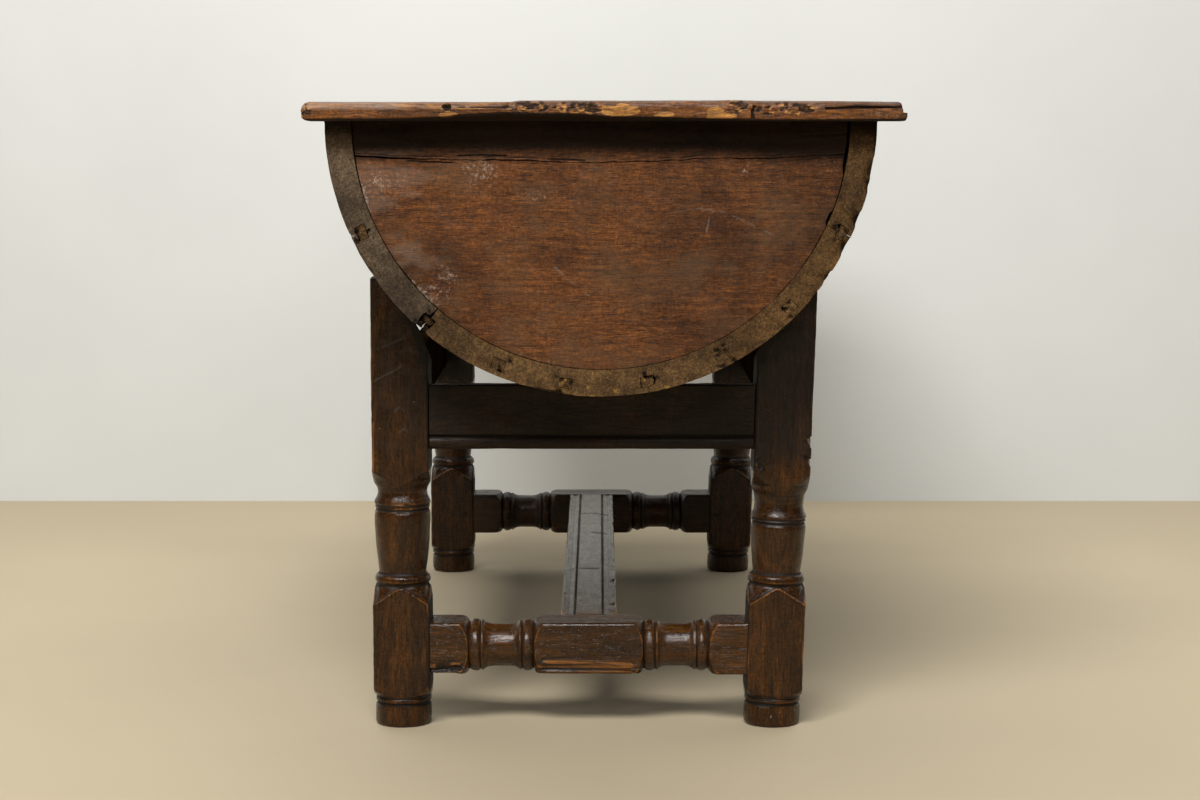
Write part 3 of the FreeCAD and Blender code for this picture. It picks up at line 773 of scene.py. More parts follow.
def end_stretcher(end):
    half = fine_outline(STRETCHER_HALF_OUTLINE, 2.0)
    whole = [(radius, -along) for radius, along in reversed(half)] + half
    bm = turned_billet(whole, STRETCHER / 2, 176, STRETCHER_ARRIS)
    axis = (ENDS[end] * LEG_ALONG, STRETCHER_HEIGHT)
    move(bm, Matrix.Rotation(math.radians(90), 4, "Y"))
    move(bm, Matrix.Translation((STAND_ACROSS, *axis)))
    low_arris = (ENDS[end] * (LEG_ALONG + STRETCHER / 2), STRETCHER_HEIGHT - STRETCHER / 2)

    def marks(points):
        """Feet have worn the lower arris back to bare wood on the middle and left-hand blocks; the shoulders'
        arrises are lightened as wear and as a painted highlight line, and the rear stretcher is darkened all
        over as painted shade.
        """
        away = np.hypot(*(points[:, 1:] - low_arris).T)
        across = points[:, 0] - STAND_ACROSS
        blocks = ease(68, 58, np.abs(across)) + ease(-150, -158, across)
        ragged = rough(points, (22, 8, 8))
        eaten = ease(19, 14, away + 6.0 * ragged) * np.clip(blocks, 0, 1)
        layers = rough(points, (13, 7.0, 7.0))
        strands = rough(points, (34, 3.0, 3.0), 2)
        depth = eaten * np.clip(2.6 - 0.08 * away + 2.8 * layers + 2.0 * strands, 0, 10)
        hollows = ease(-0.1, 0.5, 0.5 * layers + strands)
        lit = ease(-0.5, 0.2, rough(points + 90.0, (20, 6, 6)))
        off_axis = np.abs(points[:, 1:] - axis)
        powers = (off_axis**STRETCHER_ARRIS).sum(axis=1)
        square = np.hypot(*off_axis.T) * STRETCHER / 2 / powers ** (1 / STRETCHER_ARRIS)
        turned = np.interp(np.abs(across), *zip(*((along, radius) for radius, along in half)))
        # The turned shoulders' arrises are lightened as wear and as a painted highlight line.
        shoulder = ease(2.4, 0.4, np.abs(turned - square - 0.4)) * (turned > 33.5) * (turned < 45.5)
        bare = 0.95 * eaten * lit * (1 - 0.8 * hollows) + shoulder * (0.45 + 0.5 * drift(points, 12))
        return {"depth": depth, "bare": bare, "grime_and_shade": 0.65 * eaten * hollows + STRETCHER_PAINTED_SHADE[end]}

    name = f"end_stretcher_{end}"
    put(name, bm, "stand", "stand_wood", stretcher_wood, bite=1.0, dents=0.6, rub=0.6, marks=marks)


RAIL_SECTION = [
    (0, RAIL_BOTTOM),
    (RAIL_THICK - 5.0, RAIL_BOTTOM),
    (RAIL_THICK - 3.4, RAIL_BOTTOM + 1.8),
    (RAIL_THICK - 1.2, RAIL_BOTTOM + 4.2),
    (RAIL_THICK - 0.2, RAIL_BOTTOM + 8.0),
    (RAIL_THICK - 0.9, RAIL_BOTTOM + 11.8),
    (RAIL_THICK - 2.6, RAIL_BOTTOM + 14.6),
    (RAIL_THICK - 3.4, RAIL_BOTTOM + 15.2),
    (RAIL_THICK - 3.4, RAIL_BOTTOM + 16.8),
    (RAIL_THICK, RAIL_BOTTOM + 18.2),
    (RAIL_THICK, RAIL_TOP - 1.5),
    (RAIL_THICK - 1.5, RAIL_TOP),
    (0, RAIL_TOP),
]


def end_rail(end):
    away = ENDS[end]
    bm = section_loop(RAIL_SECTION, 4.0)
    half = LEG_OUT - LEG / 2
    draw_out(bm, stations(-half, half + LEAN_AT_RAIL, 5.0))
    move(bm, on_plan((0, 1, 0, STAND_ACROSS - half), (away, 0, 0, away * END_RAIL_BACK)))
    put(f"end_rail_{end}", bm, "stand", "stand_wood", end_rail_wood, bite=0.8, dents=0.3, rub=0.5)


def side_rail(side):
    sign = SIDES[side]
    bm = section_loop(RAIL_SECTION, 5.0)
    half = LEG_ALONG - LEG / 2
    draw_out(bm, stations(-half, half, 9.0))
    move(bm, on_plan((sign, 0, 0, sign * SIDE_RAIL_BACK), (0, 1, 0, -half)))
    lean_out(bm, side)
    move(bm, Matrix.Translation((STAND_ACROSS + sign * LEG_OUT, 0, 0)))
    put(f"side_rail_{side}", bm, "stand", "stand_wood", side_rail_wood, bite=0.8, dents=0.6, rub=0.5)


BOARD_HALF_SECTION = [
    (0, 0), (15.6, 0), (16.8, -2.6), (17.4, -3.2), (18.0, -2.6), (19.2, -0.2), (22.0, -1.2),
    (26.0, -1.9), (30.0, -1.2), (31.6, -0.2), (34.0, -0.6), (35.0, -3.0), (35.0, -21.5), (33.0, -24.0),
]
BOARD_CRACKS = [(-31, 6, 320), (-15, 4, 128), (-28, -8, -190)]


def centre_stretcher():
    left = [(-x, z) for x, z in reversed(BOARD_HALF_SECTION[1:])]
    bm = section_loop(left + BOARD_HALF_SECTION, 4.0)
    draw_out(bm, stations(-BOARD_END, BOARD_END, 6.0))
    move(bm, Matrix.Translation((STAND_ACROSS, -BOARD_END, BOARD_TOP)))

    def marks(points):
        """Nicks along the right-hand edge, and shallow cracks across the middle."""
        x, y, z = points.T
        nicks = ease(24, 34, x - STAND_ACROSS) * ease(0.3, 0.8, rough(points, (60, 22, 60)))
        worn = ease(-380, -520, y)
        top = ease(BOARD_TOP - 6, BOARD_TOP - 2, z)
        crack = np.zeros(len(points))
        for left, right, along in BOARD_CRACKS:
            within = ease(left - 4, left, x) * ease(right + 4, right, x)
            slant = y - along + 0.3 * (x - left) + 5.0 * drift(points, 12)
            crack = np.maximum(crack, top * within * ease(7.0, 3.0, np.abs(slant)))
        bare = 0.5 * nicks + 0.3 * worn
        return {"depth": 2.0 * nicks + 0.8 * crack, "bare": bare, "grime_and_shade": 0.7 * crack}

    name = "centre_stretcher"
    put(name, bm, "stand", "stand_wood", board_wood, bite=0.8, dents=0.2, rub=0.4, marks=marks)


def peg_end(bm, centre, direction, radius):
    """The end of a whittled peg, a little proud of the wood round it and rounded over by wear."""
    made = bmesh.ops.create_cone(
        bm, cap_ends=True, segments=20, radius1=radius, radius2=radius, depth=10.0
    )
    turn = direction.to_track_quat("Z", "Y").to_matrix().to_4x4()
    rims = [edge for vert in made["verts"] for edge in vert.link_edges]
    outer = [edge for edge in dict.fromkeys(rims) if all(vert.co.z > 0 for vert in edge.verts)]
    bevelled = bmesh.ops.bevel(
        bm, geom=outer, offset=1.4, segments=3, profile=0.5, affect="EDGES", material=-1, clamp_overlap=True
    )
    verts = {vert for vert in made["verts"] if vert.is_valid} | set(bevelled["verts"])
    place = Matrix.Translation(centre) @ turn @ Matrix.Translation((0, 0, -4.5))
    bmesh.ops.transform(bm, matrix=place, verts=list(verts))


def pegs(name, body, finish, radius, places):
    """Pegs that end at places of (centre, direction), each with grime in the ring round it."""
    bm = bmesh.new()
    for centre, direction in places:
        peg_end(bm, centre, direction, radius)
    centres = np.array([centre for centre, _ in places])

    def marks(points):
        away = np.linalg.norm(points[:, None] - centres[None], axis=2).min(axis=1)
        return {"grime_and_shade": 0.8 * ease(0.7, 1.0, away / radius)}

    put(name, bm, body, "peg_wood", finish, bite=0.25, dents=0.15, rub=0.1, marks=marks)


def stand_pegs():
    rail_places = []
    stretcher_places = []
    for (side, sign), (end, away) in product(SIDES.items(), ENDS.items()):
        lean = math.radians(LEG_LEAN[side])
        middle = STAND_ACROSS + sign * LEG_OUT
        along = away * (LEG_ALONG + LEG / 2)
        outwards = Vector((0, away, 0))
        inner = -sign * (LEG / 2 - PEG_IN)
        for places, height in ((rail_places, RAIL_PEG_HEIGHT), (stretcher_places, STRETCHER_HEIGHT)):
            x = middle + inner + (height - STRETCHER_HEIGHT) * math.sin(lean)
            places.append((Vector((x, along, height)), outwards))
            places.append((Vector((x, along - away * LEG, height)), -outwards))
        x = middle + sign * LEG / 2 + (SIDE_PEG_HEIGHT - STRETCHER_HEIGHT) * math.sin(lean)
        along_side = away * (LEG_ALONG - LEG / 2 + PEG_IN)
        rail_places.append((Vector((x, along_side, SIDE_PEG_HEIGHT)), Vector((sign, 0, 0))))
    pegs("rail_pegs", "stand", stand_upright, PEG_RADIUS, rail_places)
    pegs("stretcher_pegs", "stand", stand_upright, PEG_RADIUS, stretcher_places)


# Trough


def round_trough(radius, angle):
    turn = math.radians(angle)
    return TROUGH_ACROSS - radius * math.cos(turn), RIM - radius * math.sin(turn)


def in_trough_section(bm):
    """Turns a grid of angles across and radii up into a section of the trough."""
    for vert in bm.verts:
        x, z = round_trough(vert.co.z, vert.co.x)
        vert.co.x = x
        vert.co.z = z


def spaced(start, end, count):
    return [start + (end - start) * number / count for number in range(count + 1)]


JOINT_CELLS = (0.0, 0.4, 0.8, 1.16, TONGUE_HALF_TURN, 2.1, 2.9, 3.9)
TONGUE_CELLS = [TONGUE_LOW, 298, 300, 302, 304, 306, TONGUE_HIGH]
STAVE_CELLS = [STAVE_INSIDE, 286, 289, 292, 294, *TONGUE_CELLS, 310, 312, 313.6, TROUGH_RADIUS]
OPEN_JOINT = STAVE_EDGES[2]
STAVE_KNOCKS = [(308, 680, 10), (302, 666, 7), (290, 624, 9), (276, 592, 9), (258, 558, 8)]


def polar(points):
    """The radius of points from the trough's middle, and their angle down from the left rim."""
    across = TROUGH_ACROSS - points[:, 0]
    down = RIM - points[:, 2]
    return np.hypot(across, down), np.degrees(np.arctan2(down, across))


def off_joint(angle):
    return np.abs(angle[:, None] - np.array(STAVE_EDGES[1:-1])).min(axis=1)


def uneven(bm):
    """Moves the tongues and the grooves round them a little, all alike, as they were cut by hand."""
    points = np.array([vert.co for vert in bm.verts])
    radius, angle = polar(points)
    near = ease(3.9, 2.1, off_joint(angle)) * ease(287, 291, radius) * ease(314, 310, radius)
    across = 1.7 * near * drift(points, 9)
    up = 1.7 * near * drift(points + 77.0, 9)
    for vert, dx, dz in zip(bm.verts, across, up):
        vert.co.x += dx
        vert.co.z += dz


def worm_eaten(points, radius, angle):
    """How far the ends of the staves and tongues are eaten away round the joints."""
    at_end = ease(716, 734, np.abs(points[:, 1]))
    near = ease(3.6, 1.4, off_joint(angle)) * ease(288, 293, radius)
    return at_end * near * ease(0.25, 0.85, rough(points, (6, 12, 6)) + 0.35 * drift(points, 45))


def stave(number):
    start, end = STAVE_EDGES[number - 1 : number + 1]
    near = [start + turn for turn in JOINT_CELLS]
    far = [end - turn for turn in reversed(JOINT_CELLS)]
    middle = spaced(near[-1], far[0], round(far[0] - near[-1]))
    bm = section_grid(near + middle[1:-1] + far, STAVE_CELLS)
    grooved = []
    for face in bm.faces:
        centre = face.calc_center_median()
        by_start = number > 1 and centre.x < start + TONGUE_HALF_TURN
        by_end = number < 9 and centre.x > end - TONGUE_HALF_TURN
        if TONGUE_LOW < centre.z < TONGUE_HIGH and (by_start or by_end):
            grooved.append(face)
    bmesh.ops.delete(bm, geom=grooved, context="FACES")
    in_trough_section(bm)
    uneven(bm)
    draw_out(bm, stations(-TROUGH_HALF_LENGTH, TROUGH_HALF_LENGTH, 24.0, 3.0, 24.0))
    move(bm, Matrix.Translation((0, -TROUGH_HALF_LENGTH, 0)))

    def marks(points):
        """Worm-eaten ends, one joint that has opened at the front, knocks along the outer arris, and painted
        shadow of the lid at the top.
        """
        _, y, z = points.T
        radius, angle = polar(points)
        eaten = worm_eaten(points, radius, angle)
        front = ease(-690, -730, y)
        off_open = np.abs(angle - OPEN_JOINT)
        gaping = 0.4 + 1.0 * ease(287, 297, radius) + 0.5 * drift(points, 5)
        opened = front * ease(0.3, 0.05, off_open) * gaping
        opened += front * ease(1.9, 0.3, off_open) * ease(304, 315, radius) * 4.5
        ragged = ease(-0.25, 0.55, rough(points, (6, 10, 6))) * ease(291, 296, radius)
        opened += front * ease(2.0, 0.5, off_open + 1.2 * drift(points, 5)) * ragged * 3.0
        arris = ease(722, 735, np.abs(y)) * ease(309, 314.5, radius)
        knocks = arris * ease(0.2, 0.8, rough(points, (24, 24, 18))) * (2.6 if number > 6 else 1.0)
        for across, up, size in STAVE_KNOCKS:
            knocks += 0.6 * size * patch(points, (across, -TROUGH_HALF_LENGTH, up), (size, 26, size))
        low = ease(74, 84, angle) * ease(120, 106, angle) * ease(290, 312, radius)
        flecks = low * ease(716, 733, np.abs(y)) * ease(0.35, 0.8, rough(points, 7))
        # Painted shadow of the lid on the tops of the stave ends.
        shade = 0.5 * ease(700, 734, z) * ease(700, 730, np.abs(y))
        depth = 1.9 * eaten + opened + np.minimum(knocks, 5.0)
        bare = 0.12 * low + 0.95 * flecks
        return {"depth": depth, "bare": bare, "scuff_and_painted_light": 0.22 * eaten, "grime_and_shade": 0.35 * eaten + shade}

    def firm(points):
        """The walls of the grooves and joints are worn less, and the rim under the lid not at all."""
        radius, angle = polar(points)
        grooved = ease(2.0, 1.7, off_joint(angle)) * ease(294.0, 295.5, radius) * ease(310.0, 308.5, radius)
        closed = 0.9 * grooved * ease(0.35, 0.05, drift(points, 8))
        tight = np.maximum(closed, 0.55 * ease(0.3, 0.1, off_joint(angle)))
        tight *= np.abs(angle - OPEN_JOINT) > 2.0
        return np.maximum(tight, ease(RIM - 1.5, RIM - 0.2, points[:, 2]))

    name = f"stave_{number}"
    finish = grey_stave_wood if number < 3 else brown_stave_wood if number < 7 else dark_stave_wood
    put(name, bm, "trough", "stave_wood", finish, bite=0.6, dents=0.5, rub=0.3, marks=marks, firm=firm)


def stave_tongues():
    bm = bmesh.new()
    for number, angle in enumerate(STAVE_EDGES[1:-1]):
        loose = 0.5 + 0.5 * math.sin(4.1 * number)
        start = angle - TONGUE_HALF_TURN + TONGUE_SLACK_TURN * loose
        end = angle + TONGUE_HALF_TURN - TONGUE_SLACK_TURN + TONGUE_SLACK_TURN * loose
        low = TONGUE_LOW + TONGUE_SLACK * loose
        high = TONGUE_HIGH - TONGUE_SLACK + TONGUE_SLACK * loose
        bar = section_grid(spaced(start, end, 10), spaced(low, high, 8))
        in_trough_section(bar)
        uneven(bar)
        back = 3.5 if angle == OPEN_JOINT else 0.2 + 0.7 * abs(math.sin(2.7 * number))
        draw_out(bar, stations(0, 2 * (TROUGH_HALF_LENGTH - back), 120.0, 3.0, 9.0))
        move(bar, Matrix.Translation((0, back - TROUGH_HALF_LENGTH, 0)))
        scratch = bpy.data.meshes.new("tongue")
        bar.to_mesh(scratch)
        bar.free()
        bm.from_mesh(scratch)
        bpy.data.meshes.remove(scratch)

    def marks(points):
        """Worm-eaten ends, the one in the open joint half gone, and the two lowest of a paler wood."""
        radius, angle = polar(points)
        eaten = worm_eaten(points, radius, angle)
        depth = 1.9 * eaten + 0.4 * (1 + rough(points, 4))
        opened = ease(-715, -730, points[:, 1]) * ease(2.2, 1.9, np.abs(angle - OPEN_JOINT))
        depth += opened * (0.4 + 4.0 * ease(301, 306, radius + 3.0 * drift(points, 6)))
        golden = sum(ease(2.0, 1.6, np.abs(angle - joint)) for joint in STAVE_EDGES[4:6])
        ochre = 0.6 * ease(0.2, 0.7, drift(points, 40)) * ease(0.0, 0.6, rough(points, 8))
        ochre += golden * ease(0.0, 0.5, rough(points + 50.0, 6))
        return {"depth": depth, "bare": ochre, "scuff_and_painted_light": 0.22 * eaten, "grime_and_shade": 0.12 + 0.35 * eaten}

    name = "stave_tongues"
    put(name, bm, "trough", "stave_wood", brown_stave_wood, bite=0.1, dents=0.3, rub=0.1, marks=marks)


CRACK = [
    (-286, 696.6), (-250, 695.2), (-205, 693.0), (-168, 692.2), (-126, 692.8), (-90, 691.4), (-54, 690.2),
    (-18, 689.4), (19, 689.6), (46, 690.6), (108, 693.6), (160, 694.0), (208, 695.0), (282, 699.0),
]
SHAKES = [
    [(110, 716), (190, 717.2), (240, 720), (281, 721.8)],
    [(-166, 697.0), (-140, 697.8), (-112, 697.0)],
    [(-222, 691.4), (-196, 690.0), (-172, 689.2)],
    [(-64, 693.2), (-40, 692.6), (-22, 691.6)],
]
PANEL_SCRATCHES = [
    (1.0, [(-56, 570), (-36, 552), (-17, 537)]),
    (0.5, [(70, 631), (107, 637)]),
    (0.8, [(107, 637), (140, 633), (172, 617), (233, 589)]),
    (0.8, [(121, 626), (117, 608), (111, 590)]),
]
HAZY_SPOTS = [
    (1.0, -142, 676, 34, 26),
    (1.1, 180, 680, 38, 18),
    (1.0, -190, 552, 34, 24),
    (0.7, -246, 660, 36, 34),
    (0.8, 258, 676, 26, 26),
    (0.5, -60, 650, 60, 26),
]
ORANGE_SPOTS = [(1.0, -165, 622, 60, 22), (1.0, 200, 655, 50, 24)]


def half_round(radius):
    """A grid of faces that fills the half disc below the rim, with closer rows along the crack."""
    rows = spaced(-1, -0.24, 86) + spaced(-0.24, -0.1, 56)[1:] + spaced(-0.1, 0, 10)[1:]
    bm = section_grid(spaced(-1, 1, 264), rows)
    for vert in bm.verts:
        u = vert.co.x
        v = vert.co.z
        vert.co.x = TROUGH_ACROSS + radius * u * math.sqrt(1 - v * v / 2)
        vert.co.z = RIM + radius * v * math.sqrt(1 - u * u / 2)
    return bm


def joint_height(x):
    """The height of the joint under the end board's top strip, which looks like a crack across the panel."""
    heights = np.interp(x, *zip(*CRACK))
    return heights + 0.4 * np.sin(x / 17.0) + 0.25 * np.sin(x / 5.3)


def end_board_marks(points):
    """Scuffs, scratches and dust on the panel, painted light over its left, and painted shade under the lid
    and towards its right.
    """
    x, _, z = points.T
    radius, _ = polar(points)
    hazy = spots_on_ends(points, HAZY_SPOTS) * np.clip(0.6 + 0.9 * rough(points, (26, 26, 12)), 0, 1.4)
    edge = ease(277, 282, radius) * ease(0.0, 0.7, rough(points, 60) + 0.4) * (x < 60)
    scratch = np.zeros(len(points))
    for strength, line in PANEL_SCRATCHES:
        scratch = np.maximum(scratch, strength * ease(2.6, 0.6, off_line(points, line)))
    scratch = scratch * ease(-1.2, 0.2, rough(points, 14))
    shake = on_lines(points, SHAKES, 0.9, 0.3)
    patches = ease(0.2, 0.9, rough(points, (150, 60, 60)))
    # Painted light with a pale haze over the left of the panel, carried in the scuff and line attributes.
    lit_and_hazy_left = ease(-90, -240, x) * ease(-0.4, 0.8, rough(points, (44, 44, 16)) + 0.3)
    return {
        "depth": 0.2 * scratch + 0.2 * rough(points, 12) + 1.2 * shake,
        "bare": 0.2 * patches + 0.35 * spots_on_ends(points, ORANGE_SPOTS),
        "scuff_and_painted_light": 0.6 * hazy + 0.32 * edge + 0.16 * lit_and_hazy_left,
        "line": np.maximum(scratch, 0.6 * lit_and_hazy_left),
        # Painted shadow of the lid, darkest just under it, and painted shade growing towards the right of the
        # panel.
        "grime_and_shade": 0.8 * ease(684, 722, z) + 0.25 * ease(110, 250, x) + 0.8 * shake,
    }


def joint_arris(points):
    """The arrises along the end board's joint are worn less than the others."""
    return 0.65 * ease(3.5, 1.0, np.abs(points[:, 2] - joint_height(points[:, 0])))


def end_board(end):
    away = ENDS[end]
    for part in ("main", "top"):
        bm = half_round(STAVE_INSIDE - 0.3)
        joint = RIM - END_STRIP_HEIGHT
        normal = Vector((0, 0, 1 if part == "main" else -1))
        geom = bm.verts[:] + bm.edges[:] + bm.faces[:]
        bmesh.ops.bisect_plane(bm, geom=geom, plane_co=(0, 0, joint), plane_no=normal, clear_outer=True)
        for vert in bm.verts:
            close = max(0.0, 1.0 - abs(vert.co.z - joint) / 22.0)
            gap = 0.2 + 0.35 * math.sin(vert.co.x / 43.0 + 4.0) ** 2 + 0.4 * ease(-170, -270, vert.co.x)
            shift = float(joint_height(vert.co.x)) - joint - normal.z * gap
            vert.co.z += shift * close
        points = np.array([vert.co for vert in bm.verts])
        radius, angle = polar(points)
        shrunk = ease(167.0, 170.0, angle) + ease(159.5, 158.0, angle) * ease(155.0, 156.5, angle)
        shrunk *= 2.4 * ease(258, 283, radius)
        for vert, pull in zip(bm.verts, shrunk):
            vert.co.x -= pull
        draw_out(bm, [0, 4.0, 24.0, END_BOARD_THICK], Vector((0, away, 0)))
        move(bm, Matrix.Translation((0, away * (END_BOARD_OUT - END_BOARD_THICK), 0)))
        name = f"end_board_{end}" + ("_top" if part == "top" else "")
        wear = {"bite": 0.5, "dents": 0.5, "rub": 0.2, "marks": end_board_marks, "firm": joint_arris}
        put(name, bm, "trough", "end_board_wood", end_board_wood, **wear, spare=7.0)


def stave_nails():
    """Forged nails with hammered, four-sided heads, driven flush."""
    bm = bmesh.new()
    spans = list(zip(STAVE_EDGES, STAVE_EDGES[1:]))
    angles = [(start + end) / 2 for start, end in spans] + [4.5, 175.5]
    for angle, away in product(angles, ENDS.values()):
        made = bmesh.ops.create_cone(
            bm, cap_ends=True, segments=4, radius1=9.2, radius2=4.2, depth=2.0
        )
        x, z = round_trough(TROUGH_RADIUS - 0.6, angle)
        outwards = Vector((x - TROUGH_ACROSS, 0, z - RIM))
        turn = outwards.to_track_quat("Z", "Y").to_matrix().to_4x4()
        place = Matrix.Translation((x, away * NAIL_ALONG, z)) @ turn
        place = place @ Matrix.Rotation(math.pi / 4, 4, "Z")
        bmesh.ops.transform(bm, matrix=place, verts=made["verts"])
    bmesh.ops.subdivide_edges(bm, edges=bm.edges[:], cuts=2, use_grid_fill=True)
    put("stave_nails", bm, "trough", "nail_iron", iron, bite=0.3, dents=0.2)


# Lid


def lies_on_rim(points):
    """1 on the lid's underside where it lies on the trough."""
    _, y, z = points.T
    over_trough = ease(TROUGH_HALF_LENGTH + 8, TROUGH_HALF_LENGTH, np.abs(y))
    return ease(RIM + 1.0, RIM + 0.1, z) * over_trough


def rounded_edge(into, round_over):
    """The part of the lid's half thickness that is left at a distance in from a rounded edge."""
    part = np.clip(1 - into / round_over, 0, 1)
    return 1 - round_over / (LID_THICK / 2) * (1 - np.sqrt(1 - part**2)) * 0.9


# How much has worn off the lid's end, as (x, loss).
TOP_LOSS = [
    (-342, 1.6), (-106, 1.8), (-96, 0.0), (-40, 0.0), (20, 0.5),
    (90, 0.0), (150, 0.2), (250, 0.7), (342, 1.6),
]
UNDER_LOSS = [
    (-342, 0.4), (-230, 1.0), (-159, 4.2), (-112, 6.8), (-89, 7.0),
    (-21, 5.4), (7, 3.6), (131, 1.0), (205, 0),
]
EATEN_SPOTS = [(-86, 753, 30), (-28, 751, 33), (204, 750, 40), (150, 754, 14), (-338, 748, 11)]
PALE_SPOTS = [
    (20, 749, 24, 9), (121, 746, 17, 8), (-174, 743, 12, 5), (142, 742, 9, 4), (66, 744, 16, 4),
]
LID_CRACKS = [
    (1.8, [(168, 739), (167, 746), (169, 752)]),
    (1.5, [(250, 750.5), (300, 751.5), (338, 752.5)]),
]
LID_ROUNDING = 8.0
WORN_END = 45.0


def lid_sag(across, along):
    """How far the top of the warped lid drops towards its front end."""
    return np.interp(across, *zip(*TOP_LOSS)) * ease(250, -450, along)


def lid_plank(name, left, right):
    across = spaced(left + 0.2, right - 0.2, round((right - left) / 7.0))
    across[1:1] = [left + 1, left + 2.5, left + 4.5]
    across[-1:-1] = [right - 4.5, right - 2.5, right - 1]
    up = [RIM, RIM + 2, RIM + 7, RIM + 12, RIM + 17, RIM + 22, TABLE_HEIGHT]
    bm = section_grid(across, up)
    for vert in bm.verts:
        part = rounded_edge(LID_HALF_WIDTH - abs(vert.co.x), LID_ROUNDING)
        vert.co.z = LID_MIDDLE + (vert.co.z - LID_MIDDLE) * part
    draw_out(bm, stations(-CLAMP_SHOULDER, CLAMP_SHOULDER, 9.0))
    move(bm, Matrix.Translation((0, -CLAMP_SHOULDER, 0)))

    def marks(points):
        """The plank is a little cupped, worn hollow by use, and dark along its joints."""
        x, y, z = points.T
        middle = (left + right) / 2
        top = ease(TABLE_HEIGHT - 3, TABLE_HEIGHT, z)
        cup = 0.6 * (1 - ((x - middle) / (right - left) * 2) ** 2)
        hollow = np.clip(rough(points, (160, 260, 160)), 0, 1)
        scuffs = 0.25 * top * ease(0.5, 1.0, rough(points, 45))
        depth = top * (cup + 1.2 * hollow + lid_sag(x, y))
        joint = np.minimum(x - left, right - x)
        seam = 0.6 * ease(2.5, 0.8, joint) * ease(LID_HALF_WIDTH - 2, LID_HALF_WIDTH - 8, np.abs(x))
        return {"depth": depth, "bare": 0.3 * top * hollow, "scuff_and_painted_light": scuffs, "grime_and_shade": seam}

    wear = {"bite": 1.3, "dents": 0.5, "rub": 0.6, "marks": marks, "firm": lies_on_rim}
    put(name, bm, "lid", "lid_wood", lid_along, **wear)


